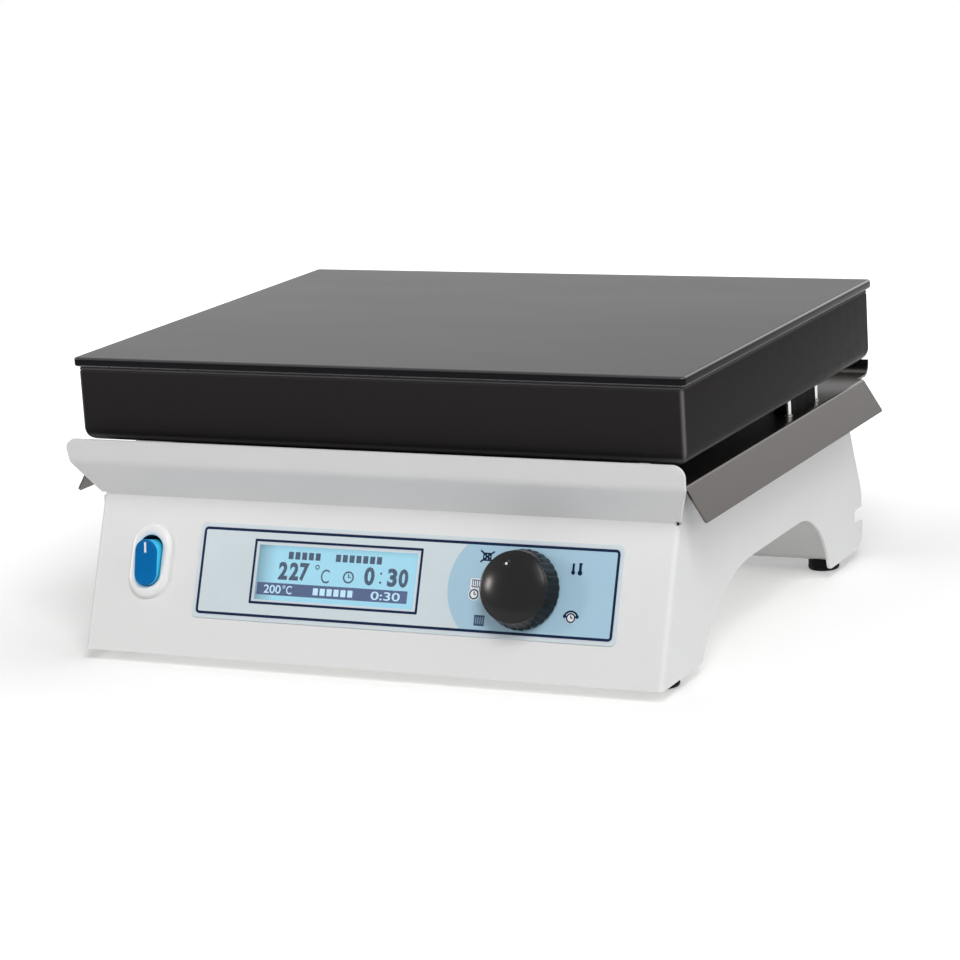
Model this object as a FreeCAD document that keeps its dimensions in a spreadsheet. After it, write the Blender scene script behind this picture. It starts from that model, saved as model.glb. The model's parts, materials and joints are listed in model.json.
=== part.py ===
import FreeCAD, Part

import math
import os
import re

import Sketcher

# Laboratory hot plate: a glass-ceramic plate on a black heater box, carried above a
# stainless drip shield on a folded white chassis with a sloped control panel.
# Own frame in millimetres: X to the right, Y to the back, Z up, floor at zero.
# Sizes are written from the middle of the plate, and every piece is then moved back by
# the same amount, so that the origin is the middle of the whole object's footprint.

SIZES = [
    ("glass_width", 280), ("glass_depth", 220), ("glass_thickness", 4),
    ("glass_corner_radius", 2), ("glass_bevel", 0.6),
    ("seal_thickness", 0.4), ("seal_width", 8), ("seal_inset", 0.2),
    ("pan_inset", 1.4), ("pan_height", 32), ("pan_wall", 1), ("pan_rim_width", 9),
    ("pan_bend_radius", 6), ("seal_corner_radius", 2),
    ("tray_clearance", 1), ("tray_height", 24), ("tray_border", 14),
    ("ribbon_width", 4), ("ribbon_height", 2), ("ribbon_rows", 8),
    ("probe_diameter", 4), ("probe_groove_clearance", 0.3), ("probe_ribbon_gap", 0.5),
    ("standoff_length", 8), ("standoff_width", 9), ("standoff_inset_side", 34),
    ("standoff_inset_end", 29),
    ("edge_pin_width", 3), ("edge_pin_inset", 7.6), ("edge_pin_front", 24),
    ("edge_pin_back", 57), ("edge_block_depth", 8), ("edge_block_gap", 0.8),
    ("collar_diameter", 18), ("collar_bore", 13), ("collar_clearance", 0.3),
    ("collar_reach", 3),
    ("lead_diameter", 4), ("lead_spacing", 6), ("lead_reach", 6),
    ("shield_thickness", 1), ("shield_inset", 3.2), ("wing_spread", 8.7), ("wing_drop", 14.2),
    ("wing_bend_radius", 1.5), ("wing_corner_radius", 1.5), ("shield_front_gap", 0.3),
    ("shield_front_drop", 8), ("wing_rear_setback", 6), ("shield_rear_reach", 9.5),
    ("shield_rear_inset", 2.8), ("shield_rear_rise", 5.9), ("shield_rear_radius", 5),
    ("body_clearance", 5.2), ("chassis_top", 81.6), ("chassis_wall", 1.2), ("chassis_inset", 3.7),
    ("chassis_bend_radius", 2.2), ("top_flange_width", 16), ("panel_setback", 4.6),
    ("panel_slope", 22.2), ("bend_height", 67.1),
    ("lip_low_rise", 16.2), ("lip_low_reach", 11.8), ("lip_low_flare", 8),
    ("lip_top_rise", 10.4), ("lip_top_reach", 2), ("lip_top_flare", 0.9),
    ("lip_bend_radius", 9), ("lip_corner_radius", 5), ("lip_root_height", 1),
    ("relief_width", 1.6), ("relief_height", 1.8),
    ("arch_height", 35.2), ("arch_front_radius", 73.5), ("arch_front_start", 30),
    ("arch_rear_radius", 36), ("arch_rear_start", 26.3), ("leg_tip_radius", 3),
    ("ear_setback", 3.8), ("ear_depth", 30.2), ("ear_taper_height", 31), ("ear_taper_run", 20.4),
    ("ear_taper_radius", 12), ("ear_foot_radius", 10), ("notch_height", 6.5),
    ("notch_depth", 10), ("notch_level", 17), ("notch_radius", 1.5),
    ("rear_flange", 16), ("rear_bend_radius", 1.2), ("vent_count", 10), ("vent_pitch", 8),
    ("vent_width", 3), ("vent_length", 22), ("vent_inset", 76.6), ("vent_level", 60),
    ("base_wall", 1), ("base_level", 36.5), ("base_side_gap", 0.3), ("base_board_gap", 0.4),
    ("base_front_run", 36.5), ("base_ramp_run", 34), ("base_rear_rise", 10),
    ("foot_diameter", 14), ("foot_inset_side", 10.6), ("foot_front_inset", 25.5),
    ("foot_rear_inset", 7),
    ("film_left", 82.5), ("film_right", 111.3), ("film_top", 10), ("film_height", 40.2),
    ("film_thickness", 0.5), ("film_corner_radius", 2.5),
    ("screen_left", 53.8), ("screen_width", 74.2), ("screen_top", 18), ("screen_height", 23),
    ("screen_margin", 1),
    ("module_border", 4.5), ("module_depth", 7.8), ("module_wall", 0.8), ("module_lens_gap", 0.4),
    ("module_glass", 2), ("module_play", 0.2),
    ("board_thickness", 1.6), ("board_border", 6), ("board_spacer_width", 5),
    ("board_spacer_inset", 3.5),
    ("knob_offset", 68.7), ("knob_drop", 30.1), ("knob_radius", 16.6), ("knob_edge_radius", 14.8),
    ("knob_edge_height", 9), ("knob_dome", 2.5), ("knob_crown_share", 0.5), ("knob_bevel", 0.6),
    ("knob_gap", 0.8),
    ("knob_recess_radius", 12), ("knob_recess_depth", 5), ("knob_top_wall", 3),
    ("knob_rib_count", 32), ("knob_rib_depth", 0.7), ("knob_rib_margin", 2),
    ("dot_radius", 0.85), ("dot_left", 3.2), ("dot_up", 9), ("dot_depth", 1.5),
    ("dot_play", 0.02), ("dot_sink", 0.1),
    ("insert_diameter", 10), ("insert_play", 0.05),
    ("shaft_diameter", 6), ("shaft_play", 0.05), ("shaft_end_gap", 0.3), ("shaft_flat", 0.8),
    ("encoder_width", 13), ("encoder_front_gap", 0.8), ("encoder_floor", 1.2),
    ("bushing_diameter", 9), ("bushing_reach", 4.2), ("bushing_play", 0.2),
    ("bushing_nut_width", 12), ("bushing_nut_height", 2.2), ("bushing_nut_play", 0.1),
    ("switch_offset", 105.7), ("switch_drop", 27.8), ("bezel_width", 18.8),
    ("bezel_height", 31.8), ("bezel_rise", 2.2), ("bezel_bevel", 1), ("bezel_ledge", 1.25),
    ("switch_depth", 17), ("switch_play", 0.2), ("well_width", 11.6), ("well_height", 22),
    ("well_depth", 11), ("rocker_play", 0.45), ("rocker_end_play", 1.2), ("rocker_tilt", 9),
    ("rocker_rise", 5.6), ("rocker_valley", 4.6), ("rocker_skirt", 4), ("pivot_depth", 3.5),
    ("pivot_diameter", 2.6), ("pivot_play", 0.05), ("pivot_reach", 1.6),
    ("blade_width", 6.3), ("blade_thickness", 0.8), ("blade_length", 8), ("blade_pitch", 8),
    ("inlet_side", 46.6), ("inlet_level", 58), ("inlet_width", 27), ("inlet_height", 20),
    ("inlet_flange", 3), ("inlet_flange_thickness", 2.5), ("inlet_depth", 20),
    ("inlet_wall", 1.6), ("inlet_cavity_depth", 15), ("inlet_corner_radius", 3),
    ("inlet_play", 0.2), ("inlet_ear", 9),
    ("prong_width", 2), ("prong_height", 4), ("prong_length", 13), ("prong_pitch", 7),
    ("prong_step", 2), ("prong_tail", 7),
    ("power_board_width", 90), ("power_board_depth", 85), ("power_board_right", 14),
    ("power_board_front", 40), ("power_spacer_height", 6), ("capacitor_diameter", 16),
    ("capacitor_height", 22), ("relay_width", 44), ("relay_depth", 56), ("relay_height", 22),
    ("relay_step", 6), ("relay_core_gap", 16), ("relay_front", 10),
    ("core_width", 50), ("core_depth", 42), ("core_height", 34), ("core_limb", 9),
    ("core_middle", 16), ("coil_overhang", 9), ("coil_play", 0.3), ("core_side", 19.6),
    ("core_front", -36), ("terminal_width", 30), ("terminal_depth", 18), ("terminal_height", 16),
]

# Places that follow from the sizes above.
PLACES = {
    "half_glass": "glass_width / 2",
    "half_depth": "glass_depth / 2",
    "half_pan": "(half_glass - pan_inset)",
    "half_pan_depth": "(half_depth - pan_inset)",
    "shield_edge": "(half_glass - shield_inset)",
    "half_chassis": "(shield_edge - chassis_inset)",
    "shield_top": "(chassis_top + shield_thickness)",
    "pan_bottom": "(shield_top + standoff_length)",
    "pan_top": "(pan_bottom + pan_height)",
    "glass_bottom": "(pan_top + seal_thickness)",
    "bend_line": "(panel_setback - half_depth)",
    "panel_foot": "(bend_line - tan(panel_slope) * (bend_height - body_clearance))",
    "panel_skin": "(chassis_wall / cos(panel_slope))",
    "lip_middle_out": "(bend_line - lip_low_reach)",
    "lip_middle_up": "(bend_height + lip_low_rise)",
    "lip_end_out": "(lip_middle_out - lip_top_reach)",
    "lip_end_up": "(lip_middle_up + lip_top_rise)",
    "half_lip": "(half_chassis + lip_low_flare + lip_top_flare)",
    "ear_back": "(half_depth - ear_setback)",
    "rear_face": "(ear_back - ear_depth)",
    "shield_back": "(half_depth + shield_rear_reach)",
    "wing_front": "(bend_line - shield_front_gap - shield_thickness)",
    "wing_back": "(half_depth - wing_rear_setback)",
    "standoff_out": "(half_glass - standoff_inset_side)",
    "standoff_end": "(half_depth - standoff_inset_end)",
    "pan_floor": "(pan_bottom + pan_wall)",
    "tray_top": "(pan_floor + tray_height)",
    "tray_half": "(half_pan - pan_wall - tray_clearance)",
    "tray_half_depth": "(half_pan_depth - pan_wall - tray_clearance)",
    "tray_recess": "(ribbon_height + probe_diameter + probe_ribbon_gap)",
    "ribbon_pitch": "(2 * (tray_half_depth - tray_border) / ribbon_rows)",
    "foot_side": "(half_chassis - foot_inset_side)",
    "foot_front": "(panel_foot + foot_front_inset)",
    "foot_rear": "(rear_face + foot_rear_inset)",
    "base_half": "(half_chassis - chassis_wall - base_side_gap)",
    "base_floor": "(base_level + base_wall)",
    "base_bend": "(panel_foot + base_front_run)",
    "inlet_offset": "(base_half - inlet_side)",
    "vent_side": "(base_half - vent_inset)",
    "core_left": "(base_half - core_side)",
    "relay_left": "(core_left - core_width - relay_core_gap)",
    "film_middle": "((film_right - film_left) / 2)",
    "screen_middle": "(screen_width / 2 - screen_left)",
    "screen_drop": "(screen_top + screen_height / 2)",
    "module_width": "(screen_width + 2 * module_border)",
    "module_height": "(screen_height + 2 * module_border)",
    "board_front": "(chassis_wall + module_depth)",
    "board_left": "(screen_middle - module_width / 2 - board_border)",
    "board_right": "(knob_offset + encoder_width / 2 + board_border)",
    "board_half_height": "(module_height / 2 + board_border)",
    "encoder_front": "(chassis_wall + encoder_front_gap)",
    "base_front_rise": "(bend_height - (screen_drop + board_half_height) * cos(panel_slope)"
                       " - (board_front + board_thickness) * sin(panel_slope)"
                       " - base_board_gap - body_clearance)",
    "knob_base": "(film_thickness + knob_gap)",
    "knob_edge": "(knob_base + knob_edge_height)",
    "knob_top": "(knob_edge + knob_dome)",
    "knob_hub_top": "(knob_top - knob_top_wall)",
    "dome_half": "(knob_edge_radius - knob_bevel)",
    "dot_reach": "sqrt(dot_left ^ 2 + dot_up ^ 2)",
    "dot_level": "(knob_edge + knob_dome * (1 - dot_reach / dome_half) / (1 - knob_crown_share))",
    "shaft_foot": "(encoder_floor + shaft_end_gap - board_front)",
    "switch_body_width": "(bezel_width - 2 * bezel_ledge)",
    "switch_body_height": "(bezel_height - 2 * bezel_ledge)",
    "rocker_width": "(well_width - 2 * rocker_play)",
    "rocker_height": "(well_height - 2 * rocker_end_play)",
    "front_most": "(bend_line - (knob_drop + dome_half) * sin(panel_slope)"
                  " - knob_edge * cos(panel_slope))",
    "shift": "(-(front_most + shield_back) / 2)",
}

doc = FreeCAD.newDocument("hot_plate")
sheet = doc.addObject("Spreadsheet::Sheet", "sizes")
for row, (name, size) in enumerate(SIZES, 1):
    sheet.set("A%d" % row, name)
    sheet.set("B%d" % row, str(size))
    sheet.setAlias("B%d" % row, name)
doc.recompute()

NAMES = {name for name, size in SIZES}
WORD = re.compile(r"[a-z_]+")


def formula(text):
    """Write out the places in a formula until only named sizes are left."""
    def swap(found):
        word = found.group(0)
        if word in PLACES:
            return "(" + formula(PLACES[word]) + ")"
        return "sizes." + word if word in NAMES else word
    return WORD.sub(swap, str(text))


def value(text):
    """The number that a formula gives with the present sizes."""
    return float(sheet.evalExpression(formula(text)))


def bind(item, **properties):
    """Tie an object's properties to formulas; a double underscore stands for a dot."""
    for name, text in properties.items():
        item.setExpression(name.replace("__", "."), formula(text))


def vector(x, y, z=0):
    return FreeCAD.Vector(x, y, z)


KEPT = []


def keep(item, label):
    """Give a finished sub-part the name under which its shape is written."""
    item.Label = label
    KEPT.append(item)
    return item


def place(item, x="0", y="0", z="0", turn=None):
    """Put a sub-part at a point given from the plate's middle and the floor."""
    if turn:
        axis, angle = turn
        item.Placement = FreeCAD.Placement(vector(0, 0), FreeCAD.Rotation(vector(*axis), angle))
    bind(item, Placement__Base__x=x, Placement__Base__y="(%s) + shift" % y, Placement__Base__z=z)
    return item


def on_panel(item, across="0", down="0", out="0"):
    """Seat a piece on the sloped panel, its own XY plane against the panel's face."""
    item.Placement = FreeCAD.Placement(vector(0, 0), FreeCAD.Rotation(vector(1, 0, 0), 45))
    back = "bend_line - (%s) * sin(panel_slope) - (%s) * cos(panel_slope) + shift"
    rise = "bend_height - (%s) * cos(panel_slope) + (%s) * sin(panel_slope)"
    bind(item, Placement__Rotation__Angle="90 - panel_slope", Placement__Base__x=across,
         Placement__Base__y=back % (down, out), Placement__Base__z=rise % (down, out))
    return item


# Sketches

def pin_down(sketch, kind, edge, end, text):
    """Hold one coordinate of a point at a formula."""
    at = sketch.addConstraint(Sketcher.Constraint(kind, -1, 1, edge, end, value(text)))
    if WORD.search(str(text)):
        sketch.setExpression("Constraints[%d]" % at, formula(text))


def outline(sketch, corners):
    """Closed outline. A corner is (x, y), or (x, y, centre x, centre y, turn) where an arc
    about that centre leads to the next corner, turn 1 for left and -1 for right."""
    points = [(value(corner[0]), value(corner[1])) for corner in corners]
    edges = []
    for number, corner in enumerate(corners):
        start = points[number]
        stop = points[(number + 1) % len(points)]
        if len(corner) == 2:
            line = Part.LineSegment(vector(*start), vector(*stop))
            edges.append((sketch.addGeometry(line, False), 1, 2))
            continue
        centre = (value(corner[2]), value(corner[3]))
        angles = [math.atan2(p[1] - centre[1], p[0] - centre[0]) for p in (start, stop)]
        circle = Part.Circle(vector(*centre), vector(0, 0, 1), math.dist(centre, start))
        if corner[4] > 0:
            arc = Part.ArcOfCircle(circle, angles[0], angles[1])
            edges.append((sketch.addGeometry(arc, False), 1, 2))
        else:
            arc = Part.ArcOfCircle(circle, angles[1], angles[0])
            edges.append((sketch.addGeometry(arc, False), 2, 1))
    for number, (edge, first, last) in enumerate(edges):
        following, start, end = edges[(number + 1) % len(edges)]
        sketch.addConstraint(Sketcher.Constraint("Coincident", edge, last, following, start))
    for number, corner in enumerate(corners):
        edge, first, last = edges[number]
        pin_down(sketch, "DistanceX", edge, first, corner[0])
        pin_down(sketch, "DistanceY", edge, first, corner[1])
        if len(corner) > 2:
            start = points[number]
            stop = points[(number + 1) % len(points)]
            level = abs(stop[0] - start[0]) > abs(stop[1] - start[1])
            kind = "DistanceY" if level else "DistanceX"
            pin_down(sketch, kind, edge, 3, corner[3] if level else corner[2])


def rectangle(sketch, left, right, low, high):
    outline(sketch, [(left, low), (right, low), (right, high), (left, high)])


def centred(sketch, width, height, x="0", y="0"):
    rectangle(sketch, "(%s) - (%s) / 2" % (x, width), "(%s) + (%s) / 2" % (x, width),
              "(%s) - (%s) / 2" % (y, height), "(%s) + (%s) / 2" % (y, height))


def frame_of(sketch, width, height, border):
    centred(sketch, width, height)
    centred(sketch, "%s - 2 * (%s)" % (width, border), "%s - 2 * (%s)" % (height, border))


def circle(sketch, radius, x="0", y="0"):
    round_edge = Part.Circle(vector(value(x), value(y)), vector(0, 0, 1), value(radius))
    edge = sketch.addGeometry(round_edge, False)
    at = sketch.addConstraint(Sketcher.Constraint("Radius", edge, value(radius)))
    sketch.setExpression("Constraints[%d]" % at, formula(radius))
    pin_down(sketch, "DistanceX", edge, 3, x)
    pin_down(sketch, "DistanceY", edge, 3, y)


def stadium(sketch, width, height, x="0", y="0"):
    """Upright oval of two straight sides and two half circles."""
    left = "(%s) - (%s) / 2" % (x, width)
    right = "(%s) + (%s) / 2" % (x, width)
    low = "(%s) - ((%s) - (%s)) / 2" % (y, height, width)
    high = "(%s) + ((%s) - (%s)) / 2" % (y, height, width)
    outline(sketch, [(left, low, x, low, 1), (right, low), (right, high, x, high, 1), (left, high)])


def strip(sketch, corners, thickness, side):
    """Section of a folded sheet: its outer line through the corners, its inner line at the
    thickness beside it, to the left (side 1) or the right (side -1)."""
    outer = [vector(value(x), value(y)) for x, y in corners]
    count = len(outer) - 1
    deep = value(thickness)
    normals = []
    for number in range(count):
        run = (outer[number + 1] - outer[number]).normalize()
        normals.append(vector(-run.y, run.x) * side)
    inner = [outer[0] + normals[0] * deep]
    for number in range(1, count):
        both = normals[number - 1] + normals[number]
        inner.append(outer[number] + both * (deep / (1 + normals[number - 1].dot(normals[number]))))
    inner.append(outer[count] + normals[-1] * deep)
    out_edges = [sketch.addGeometry(Part.LineSegment(outer[n], outer[n + 1]), False)
                 for n in range(count)]
    in_edges = [sketch.addGeometry(Part.LineSegment(inner[n], inner[n + 1]), False)
                for n in range(count)]
    first_cap = sketch.addGeometry(Part.LineSegment(outer[0], inner[0]), False)
    last_cap = sketch.addGeometry(Part.LineSegment(outer[count], inner[count]), False)
    joins = [(first_cap, 1, out_edges[0], 1), (first_cap, 2, in_edges[0], 1),
             (last_cap, 1, out_edges[-1], 2), (last_cap, 2, in_edges[-1], 2)]
    joins += [(line[n], 2, line[n + 1], 1) for line in (out_edges, in_edges)
              for n in range(count - 1)]
    for join in joins:
        sketch.addConstraint(Sketcher.Constraint("Coincident", *join))
    for number, (x, y) in enumerate(corners):
        edge, end = (out_edges[number], 1) if number < count else (out_edges[-1], 2)
        pin_down(sketch, "DistanceX", edge, end, x)
        pin_down(sketch, "DistanceY", edge, end, y)
    for cap, edge in ((first_cap, out_edges[0]), (last_cap, out_edges[-1])):
        sketch.addConstraint(Sketcher.Constraint("Perpendicular", cap, edge))
    for outside, inside in zip(out_edges, in_edges):
        sketch.addConstraint(Sketcher.Constraint("Parallel", outside, inside))
        at = sketch.addConstraint(Sketcher.Constraint("Distance", outside, 1, inside, deep))
        sketch.setExpression("Constraints[%d]" % at, formula(thickness))


# Features of a body

def new_body(name):
    return doc.addObject("PartDesign::Body", name)


def plane(piece, role):
    return next(item for item in piece.Origin.OriginFeatures if item.Role == role)


def sketch_on(piece, role, draw, *args, level=None, turn=None):
    """Sketch on one of the body's own planes, moved out by level or turned about an axis."""
    sketch = piece.newObject("Sketcher::SketchObject", piece.Name + "_sketch")
    sketch.AttachmentSupport = [(plane(piece, role), "")]
    sketch.MapMode = "FlatFace"
    if turn:
        axis, angle = turn
        sketch.AttachmentOffset = FreeCAD.Placement(vector(0, 0),
                                                    FreeCAD.Rotation(vector(*axis), 45))
        bind(sketch, AttachmentOffset__Rotation__Angle=angle)
    if level:
        moves = level if isinstance(level, dict) else {"z": level}
        for axis, text in moves.items():
            bind(sketch, **{"AttachmentOffset__Base__" + axis: text})
    draw(sketch, *args)
    return sketch


def sound(feature):
    if "Invalid" in feature.State or feature.Shape.isNull():
        raise ValueError("%s failed" % feature.Name)
    return feature


def grow(piece, kind, sketch, length, middle=False, back=False):
    """Pad or pocket a sketch by a length, from its middle or backwards where asked."""
    feature = piece.newObject("PartDesign::" + kind, piece.Name + "_" + kind.lower())
    feature.Profile = sketch
    feature.SideType = "Symmetric" if middle else "One side"
    feature.Reversed = back
    bind(feature, Length=length)
    doc.recompute()
    return sound(feature)


def pad(piece, sketch, length, **how):
    return grow(piece, "Pad", sketch, length, **how)


def pocket(piece, sketch, length, **how):
    """Cut a sketch through the body and make sure that it did cut."""
    before = piece.Shape.Volume
    feature = grow(piece, "Pocket", sketch, length, **how)
    if piece.Shape.Volume > before - 1e-6:
        raise ValueError("nothing was cut from " + piece.Name)
    return feature


def revolve(piece, sketch):
    """Turn a sketch of the XZ plane round the body's upright axis."""
    feature = piece.newObject("PartDesign::Revolution", piece.Name + "_turned")
    feature.Profile = sketch
    feature.ReferenceAxis = (sketch, ["V_Axis"])
    feature.Angle = 360
    doc.recompute()
    return feature


def blend(piece, kind, wanted, size, size_name="Radius"):
    """Round or bevel the edges that a test picks out."""
    names = ["Edge%d" % number for number, edge in enumerate(piece.Shape.Edges, 1) if wanted(edge)]
    if not names:
        raise ValueError("no edge was found on " + piece.Name)
    feature = piece.newObject("PartDesign::" + kind, piece.Name + "_" + kind.lower())
    feature.Base = (piece.Tip if piece.Tip != feature else feature.BaseFeature, names)
    bind(feature, **{size_name: size})
    piece.Tip = feature
    doc.recompute()
    return sound(feature)


def round_edges(piece, wanted, radius):
    return blend(piece, "Fillet", wanted, radius)


def bevel_edges(piece, wanted, size):
    return blend(piece, "Chamfer", wanted, size, "Size")


def hollow_out(piece, wanted, wall):
    """Leave a wall of even thickness inside the surface, open at the chosen face."""
    names = ["Face%d" % number for number, face in enumerate(piece.Shape.Faces, 1) if wanted(face)]
    feature = piece.newObject("PartDesign::Thickness", piece.Name + "_hollow")
    feature.Base = (feature.BaseFeature or piece.Tip, names)
    feature.Reversed = True
    bind(feature, Value=wall)
    piece.Tip = feature
    doc.recompute()
    return sound(feature)


def runs_along(edge, x, y, z):
    """True for a straight edge parallel to a direction."""
    if edge.Curve.TypeId != "Part::GeomLine":
        return False
    return abs(edge.Curve.Direction.dot(vector(x, y, z))) > 0.9999


def near(first, second):
    return abs(first - second) < 0.02


def mid(edge):
    return edge.CenterOfMass


def at_level(level):
    """Test for edges that lie all round at one height."""
    high = value(level)
    return lambda edge: near(edge.BoundBox.ZMin, high) and near(edge.BoundBox.ZMax, high)


def upright(edge):
    return runs_along(edge, 0, 0, 1)


# Simple solids and groups

def box(name, width, depth, height):
    item = doc.addObject("Part::Box", name)
    bind(item, Length=width, Width=depth, Height=height)
    return item


def post(name, width, height):
    """Hexagon post, as wide across its flats as given."""
    prism = doc.addObject("Part::Prism", name)
    prism.Polygon = 6
    bind(prism, Circumradius="(%s) / sqrt(3)" % width, Height=height)
    return prism


def rod(name, radius, height):
    item = doc.addObject("Part::Cylinder", name)
    bind(item, Radius=radius, Height=height)
    return item


def turned(name, profile):
    """Solid of revolution about the upright axis from corners (radius, height)."""
    sketch = doc.addObject("Sketcher::SketchObject", name + "_section")
    sketch.Placement = FreeCAD.Placement(vector(0, 0), FreeCAD.Rotation(vector(1, 0, 0), 90))
    outline(sketch, profile)
    item = doc.addObject("Part::Revolution", name)
    item.Source = sketch
    item.Axis = vector(0, 0, 1)
    item.Angle = 360
    item.Solid = True
    return item


def move(item, x="0", y="0", z="0"):
    bind(item, Placement__Base__x=x, Placement__Base__y=y, Placement__Base__z=z)
    return item


def combine(kind, name, first, second):
    item = doc.addObject("Part::" + kind, name)
    item.Base = first
    item.Tool = second
    return item


def group(name, members):
    item = doc.addObject("Part::Compound", name)
    item.Links = members
    return item


def four(name, make, x, y, z):
    """Four equal pieces, mirrored across both middle planes."""
    members = []
    for number, (side, end) in enumerate(((-1, -1), (1, -1), (-1, 1), (1, 1))):
        piece = make("%s_%d" % (name, number))
        members.append(move(piece, "%d * (%s)" % (side, x), "%d * (%s)" % (end, y), z))
    return group(name, members)


# Glass plate, seal, heater box and what lies in it

def make_glass_plate():
    piece = new_body("glass_plate")
    pad(piece, sketch_on(piece, "XY_Plane", centred, "glass_width", "glass_depth"),
        "glass_thickness")
    round_edges(piece, upright, "glass_corner_radius")
    bevel_edges(piece, lambda edge: near(edge.BoundBox.ZLength, 0), "glass_bevel")
    keep(place(piece, z="glass_bottom"), "glass_plate")


def make_glass_seal():
    piece = new_body("glass_seal")
    outer = "2 * (half_pan - seal_inset)", "2 * (half_pan_depth - seal_inset)"
    pad(piece, sketch_on(piece, "XY_Plane", centred, *outer), "seal_thickness")
    round_edges(piece, upright, "seal_corner_radius")
    inner = ["%s - 2 * seal_width" % size for size in outer]
    hole = sketch_on(piece, "XY_Plane", centred, *inner)
    pocket(piece, hole, "4 * seal_thickness", middle=True)
    keep(place(piece, z="pan_top"), "glass_seal")


def make_heater_pan():
    piece = new_body("heater_pan")
    pad(piece, sketch_on(piece, "XY_Plane", centred, "2 * half_pan", "2 * half_pan_depth"),
        "pan_height")
    round_edges(piece, at_level("0"), "pan_bend_radius")
    hollow_out(piece, lambda face: near(face.BoundBox.ZMin, value("pan_height")), "pan_wall")
    rim = sketch_on(piece, "XY_Plane", frame_of, "2 * (half_pan - pan_wall)",
                    "2 * (half_pan_depth - pan_wall)", "pan_rim_width - pan_wall",
                    level="pan_height")
    pad(piece, rim, "pan_wall", back=True)
    passage = sketch_on(piece, "XY_Plane", circle, "collar_diameter / 2 + collar_clearance")
    pocket(piece, passage, "4 * pan_wall", middle=True)
    keep(place(piece, z="pan_bottom"), "heater_pan")


def make_insulation_tray():
    """Fibre tray with a shallow recess for the heating ribbon and a hole for its leads."""
    piece = new_body("insulation_tray")
    pad(piece, sketch_on(piece, "XY_Plane", centred, "2 * tray_half", "2 * tray_half_depth"),
        "tray_height")
    round_edges(piece, at_level("0"), "pan_bend_radius")
    recess = sketch_on(piece, "XY_Plane", centred, "2 * (tray_half - tray_border)",
                       "2 * (tray_half_depth - tray_border)", level="tray_height")
    pocket(piece, recess, "tray_recess")
    passage = sketch_on(piece, "XY_Plane", circle, "collar_diameter / 2 + collar_clearance")
    pocket(piece, passage, "3 * tray_height", middle=True)
    groove = sketch_on(piece, "YZ_Plane", centred,
                       "probe_diameter + 2 * probe_groove_clearance",
                       "2 * (probe_diameter + probe_groove_clearance)", "0", "tray_height")
    pocket(piece, groove, "3 * half_glass", middle=True)
    keep(place(piece, z="pan_floor"), "insulation_tray")


def make_heating_ribbon():
    """Flat ribbon laid to and fro: straight rows, joined by a short link at one end."""
    pieces = []
    length = "2 * (tray_half - tray_border - ribbon_pitch / 2)"
    first = "(ribbon_width + (ribbon_rows - 1) * ribbon_pitch) / 2"
    for number in range(int(value("ribbon_rows"))):
        row = box("ribbon_row_%d" % number, length, "ribbon_width", "ribbon_height")
        away = "%d * ribbon_pitch - %s" % (number, first)
        pieces.append(move(row, "-(%s) / 2" % length, away))
        if number:
            link = box("ribbon_link_%d" % number, "ribbon_width", "ribbon_pitch + ribbon_width",
                       "ribbon_height")
            end = "(%s) / 2 - ribbon_width" % length if number % 2 else "-(%s) / 2" % length
            pieces.append(move(link, end, "%s - ribbon_pitch" % away))
    ribbon = doc.addObject("Part::MultiFuse", "heating_ribbon")
    ribbon.Shapes = pieces
    ribbon.Refine = True
    keep(place(ribbon, z="tray_top - tray_recess"), "heating_ribbon")


def make_temperature_probe():
    piece = rod("temperature_probe", "probe_diameter / 2", "2 * tray_half")
    place(piece, "-tray_half", "0", "tray_top - probe_diameter / 2", turn=((0, 1, 0), 90))
    keep(piece, "temperature_probe")


# Standoffs, drip shield and what passes through it

def make_standoffs():
    def one(name):
        return post(name, "standoff_width", "standoff_length")
    keep(place(four("standoffs", one, "standoff_out", "standoff_end", "shield_top")), "standoffs")


def make_edge_spacers():
    """Slim pins between shield and box near each side edge, with a block between each two."""
    pins = []
    blocks = []
    for side in (-1, 1):
        out = "%d * (half_pan - edge_pin_inset)" % side
        for end in ("edge_pin_front", "edge_pin_back"):
            pin = post("edge_pin_%d" % len(pins), "edge_pin_width", "standoff_length")
            pins.append(move(pin, out, end, "shield_top"))
        room = "edge_pin_width / 2 + edge_block_gap"
        block = box("edge_block_%d" % len(blocks), "edge_block_depth",
                    "edge_pin_back - edge_pin_front - 2 * (%s)" % room, "standoff_length")
        start = "(%s) - edge_block_depth / 2 - %d * edge_pin_width" % (out, side)
        blocks.append(move(block, start, "edge_pin_front + " + room, "shield_top"))
    keep(place(group("edge_pins", pins)), "edge_pins")
    keep(place(group("edge_blocks", blocks)), "edge_blocks")


def make_lead_collar():
    """Insulating sleeve that takes the heater's leads up through shield and box floor."""
    low = "-shield_thickness - collar_reach"
    high = "standoff_length + pan_wall + collar_reach"
    profile = [("collar_bore / 2", low), ("collar_diameter / 2", low),
               ("collar_diameter / 2", high), ("collar_bore / 2", high)]
    keep(place(turned("lead_collar", profile), z="shield_top"), "lead_collar")


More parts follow.
